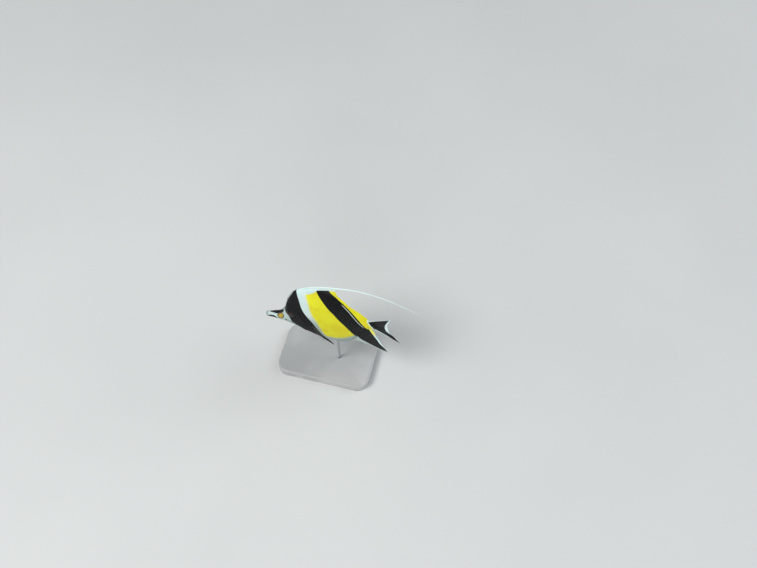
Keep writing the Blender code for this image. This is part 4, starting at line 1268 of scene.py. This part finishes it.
def floor_material():
    shader = Shader("floor")
    place = shader.node("ShaderNodeTexCoord", "Object")
    cloud = shader.noise(place, 3.0, 3.0, 0.5)
    colour = shader.mix(shader.spread(cloud, 0.3, 0.7), (0.55, 0.565, 0.565), (0.575, 0.59, 0.59))
    shader.set(Base_Color=colour, Roughness=0.8)
    return shader.material


def repaint(node, material):
    """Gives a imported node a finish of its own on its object's slots."""
    for index in range(len(node.material_slots)):
        node.material_slots[index].link = "OBJECT"
        node.material_slots[index].material = material


def stage():
    mesh = bpy.data.meshes.new("floor")
    half = FLOOR_SIZE / 2
    mesh.from_pydata([(-half, -half, 0), (half, -half, 0), (half, half, 0), (-half, half, 0)], [], [(0, 1, 2, 3)])
    mesh.materials.append(floor_material())
    linked("floor", mesh)
    bpy.context.scene.view_settings.view_transform = "Standard"


def lamp(name, place, aim, size, power, colour=(1.0, 1.0, 1.0)):
    data = bpy.data.lights.new(name, "AREA")
    data.shape = "DISK"
    data.size = size
    data.energy = power
    data.color = colour
    obj = linked(name, data)
    obj.location = place
    obj.rotation_euler = (Vector(aim) - Vector(place)).to_track_quat("-Z", "Y").to_euler()


def lights():
    """A broad key from the fish's upper left, a soft fill from its right, and a low one along its flank."""
    aim = (0.0, 0.0, AXIS_HEIGHT)
    lamp("key", (-1.25, -1.15, 2.20), aim, 1.40, 56.0, (1.0, 0.985, 0.96))
    lamp("fill", (1.60, 0.80, 1.75), aim, 2.00, 25.0, (0.94, 0.975, 1.0))
    lamp("flank", (0.10, -2.20, 0.80), aim, 1.50, 16.0)
    world = bpy.data.worlds.new("studio")
    world.use_nodes = True
    world.node_tree.nodes["Background"].inputs["Color"].default_value = (0.90, 0.94, 0.96, 1)
    world.node_tree.nodes["Background"].inputs["Strength"].default_value = 0.34
    bpy.context.scene.world = world


def camera():
    """The photo's own view, by its azimuth, elevation, place and focal length."""
    data = bpy.data.cameras.new("camera")
    data.sensor_fit = "HORIZONTAL"
    data.sensor_width = SENSOR_WIDTH
    data.lens = FOCAL_PIXELS / IMAGE_WIDTH * SENSOR_WIDTH
    data.clip_start = 0.01
    obj = linked("camera", data)
    a, e = CAMERA_AZIMUTH, CAMERA_ELEVATION
    right = Vector((math.cos(a), math.sin(a), 0))
    back = Vector((math.sin(a) * math.cos(e), -math.cos(a) * math.cos(e), math.sin(e)))
    turn = Matrix((right, back.cross(right), back)).transposed()
    obj.matrix_world = Matrix.Translation(CAMERA_PLACE) @ turn.to_4x4()
    bpy.context.scene.camera = obj


def dress_fish():
    body = Body()
    skin(body, skin_material())
    scales(body, scale_material())
    fins = fin_material()
    dorsal_fin(fins)
    anal_fin(fins)
    tail_fin(fins)
    dorsal_filament(fins)
    for number, (place, height) in enumerate(SHORT_SPINES, start=1):
        short_spine(number, place, height, fins)
    clear, eyes, horns = clear_fin_material(), eye_material(), horn_material()
    for side, word in ((-1, "left"), (1, "right")):
        pectoral_fin(word, side, clear)
        pelvic_fin(word, side, fins)
        eye(word, side, eyes)
        horn(word, side, horns)


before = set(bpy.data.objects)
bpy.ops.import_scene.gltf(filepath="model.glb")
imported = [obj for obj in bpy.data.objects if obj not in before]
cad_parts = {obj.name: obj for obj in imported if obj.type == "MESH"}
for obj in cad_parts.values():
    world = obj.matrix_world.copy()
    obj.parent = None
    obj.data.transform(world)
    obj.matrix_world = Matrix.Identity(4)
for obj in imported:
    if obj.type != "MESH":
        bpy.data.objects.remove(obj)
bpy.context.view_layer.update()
camera()
dress_fish()
repaint(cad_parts["stand_base"], paint_material())
repaint(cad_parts["stand_rod"], steel_material())
stage()
lights()
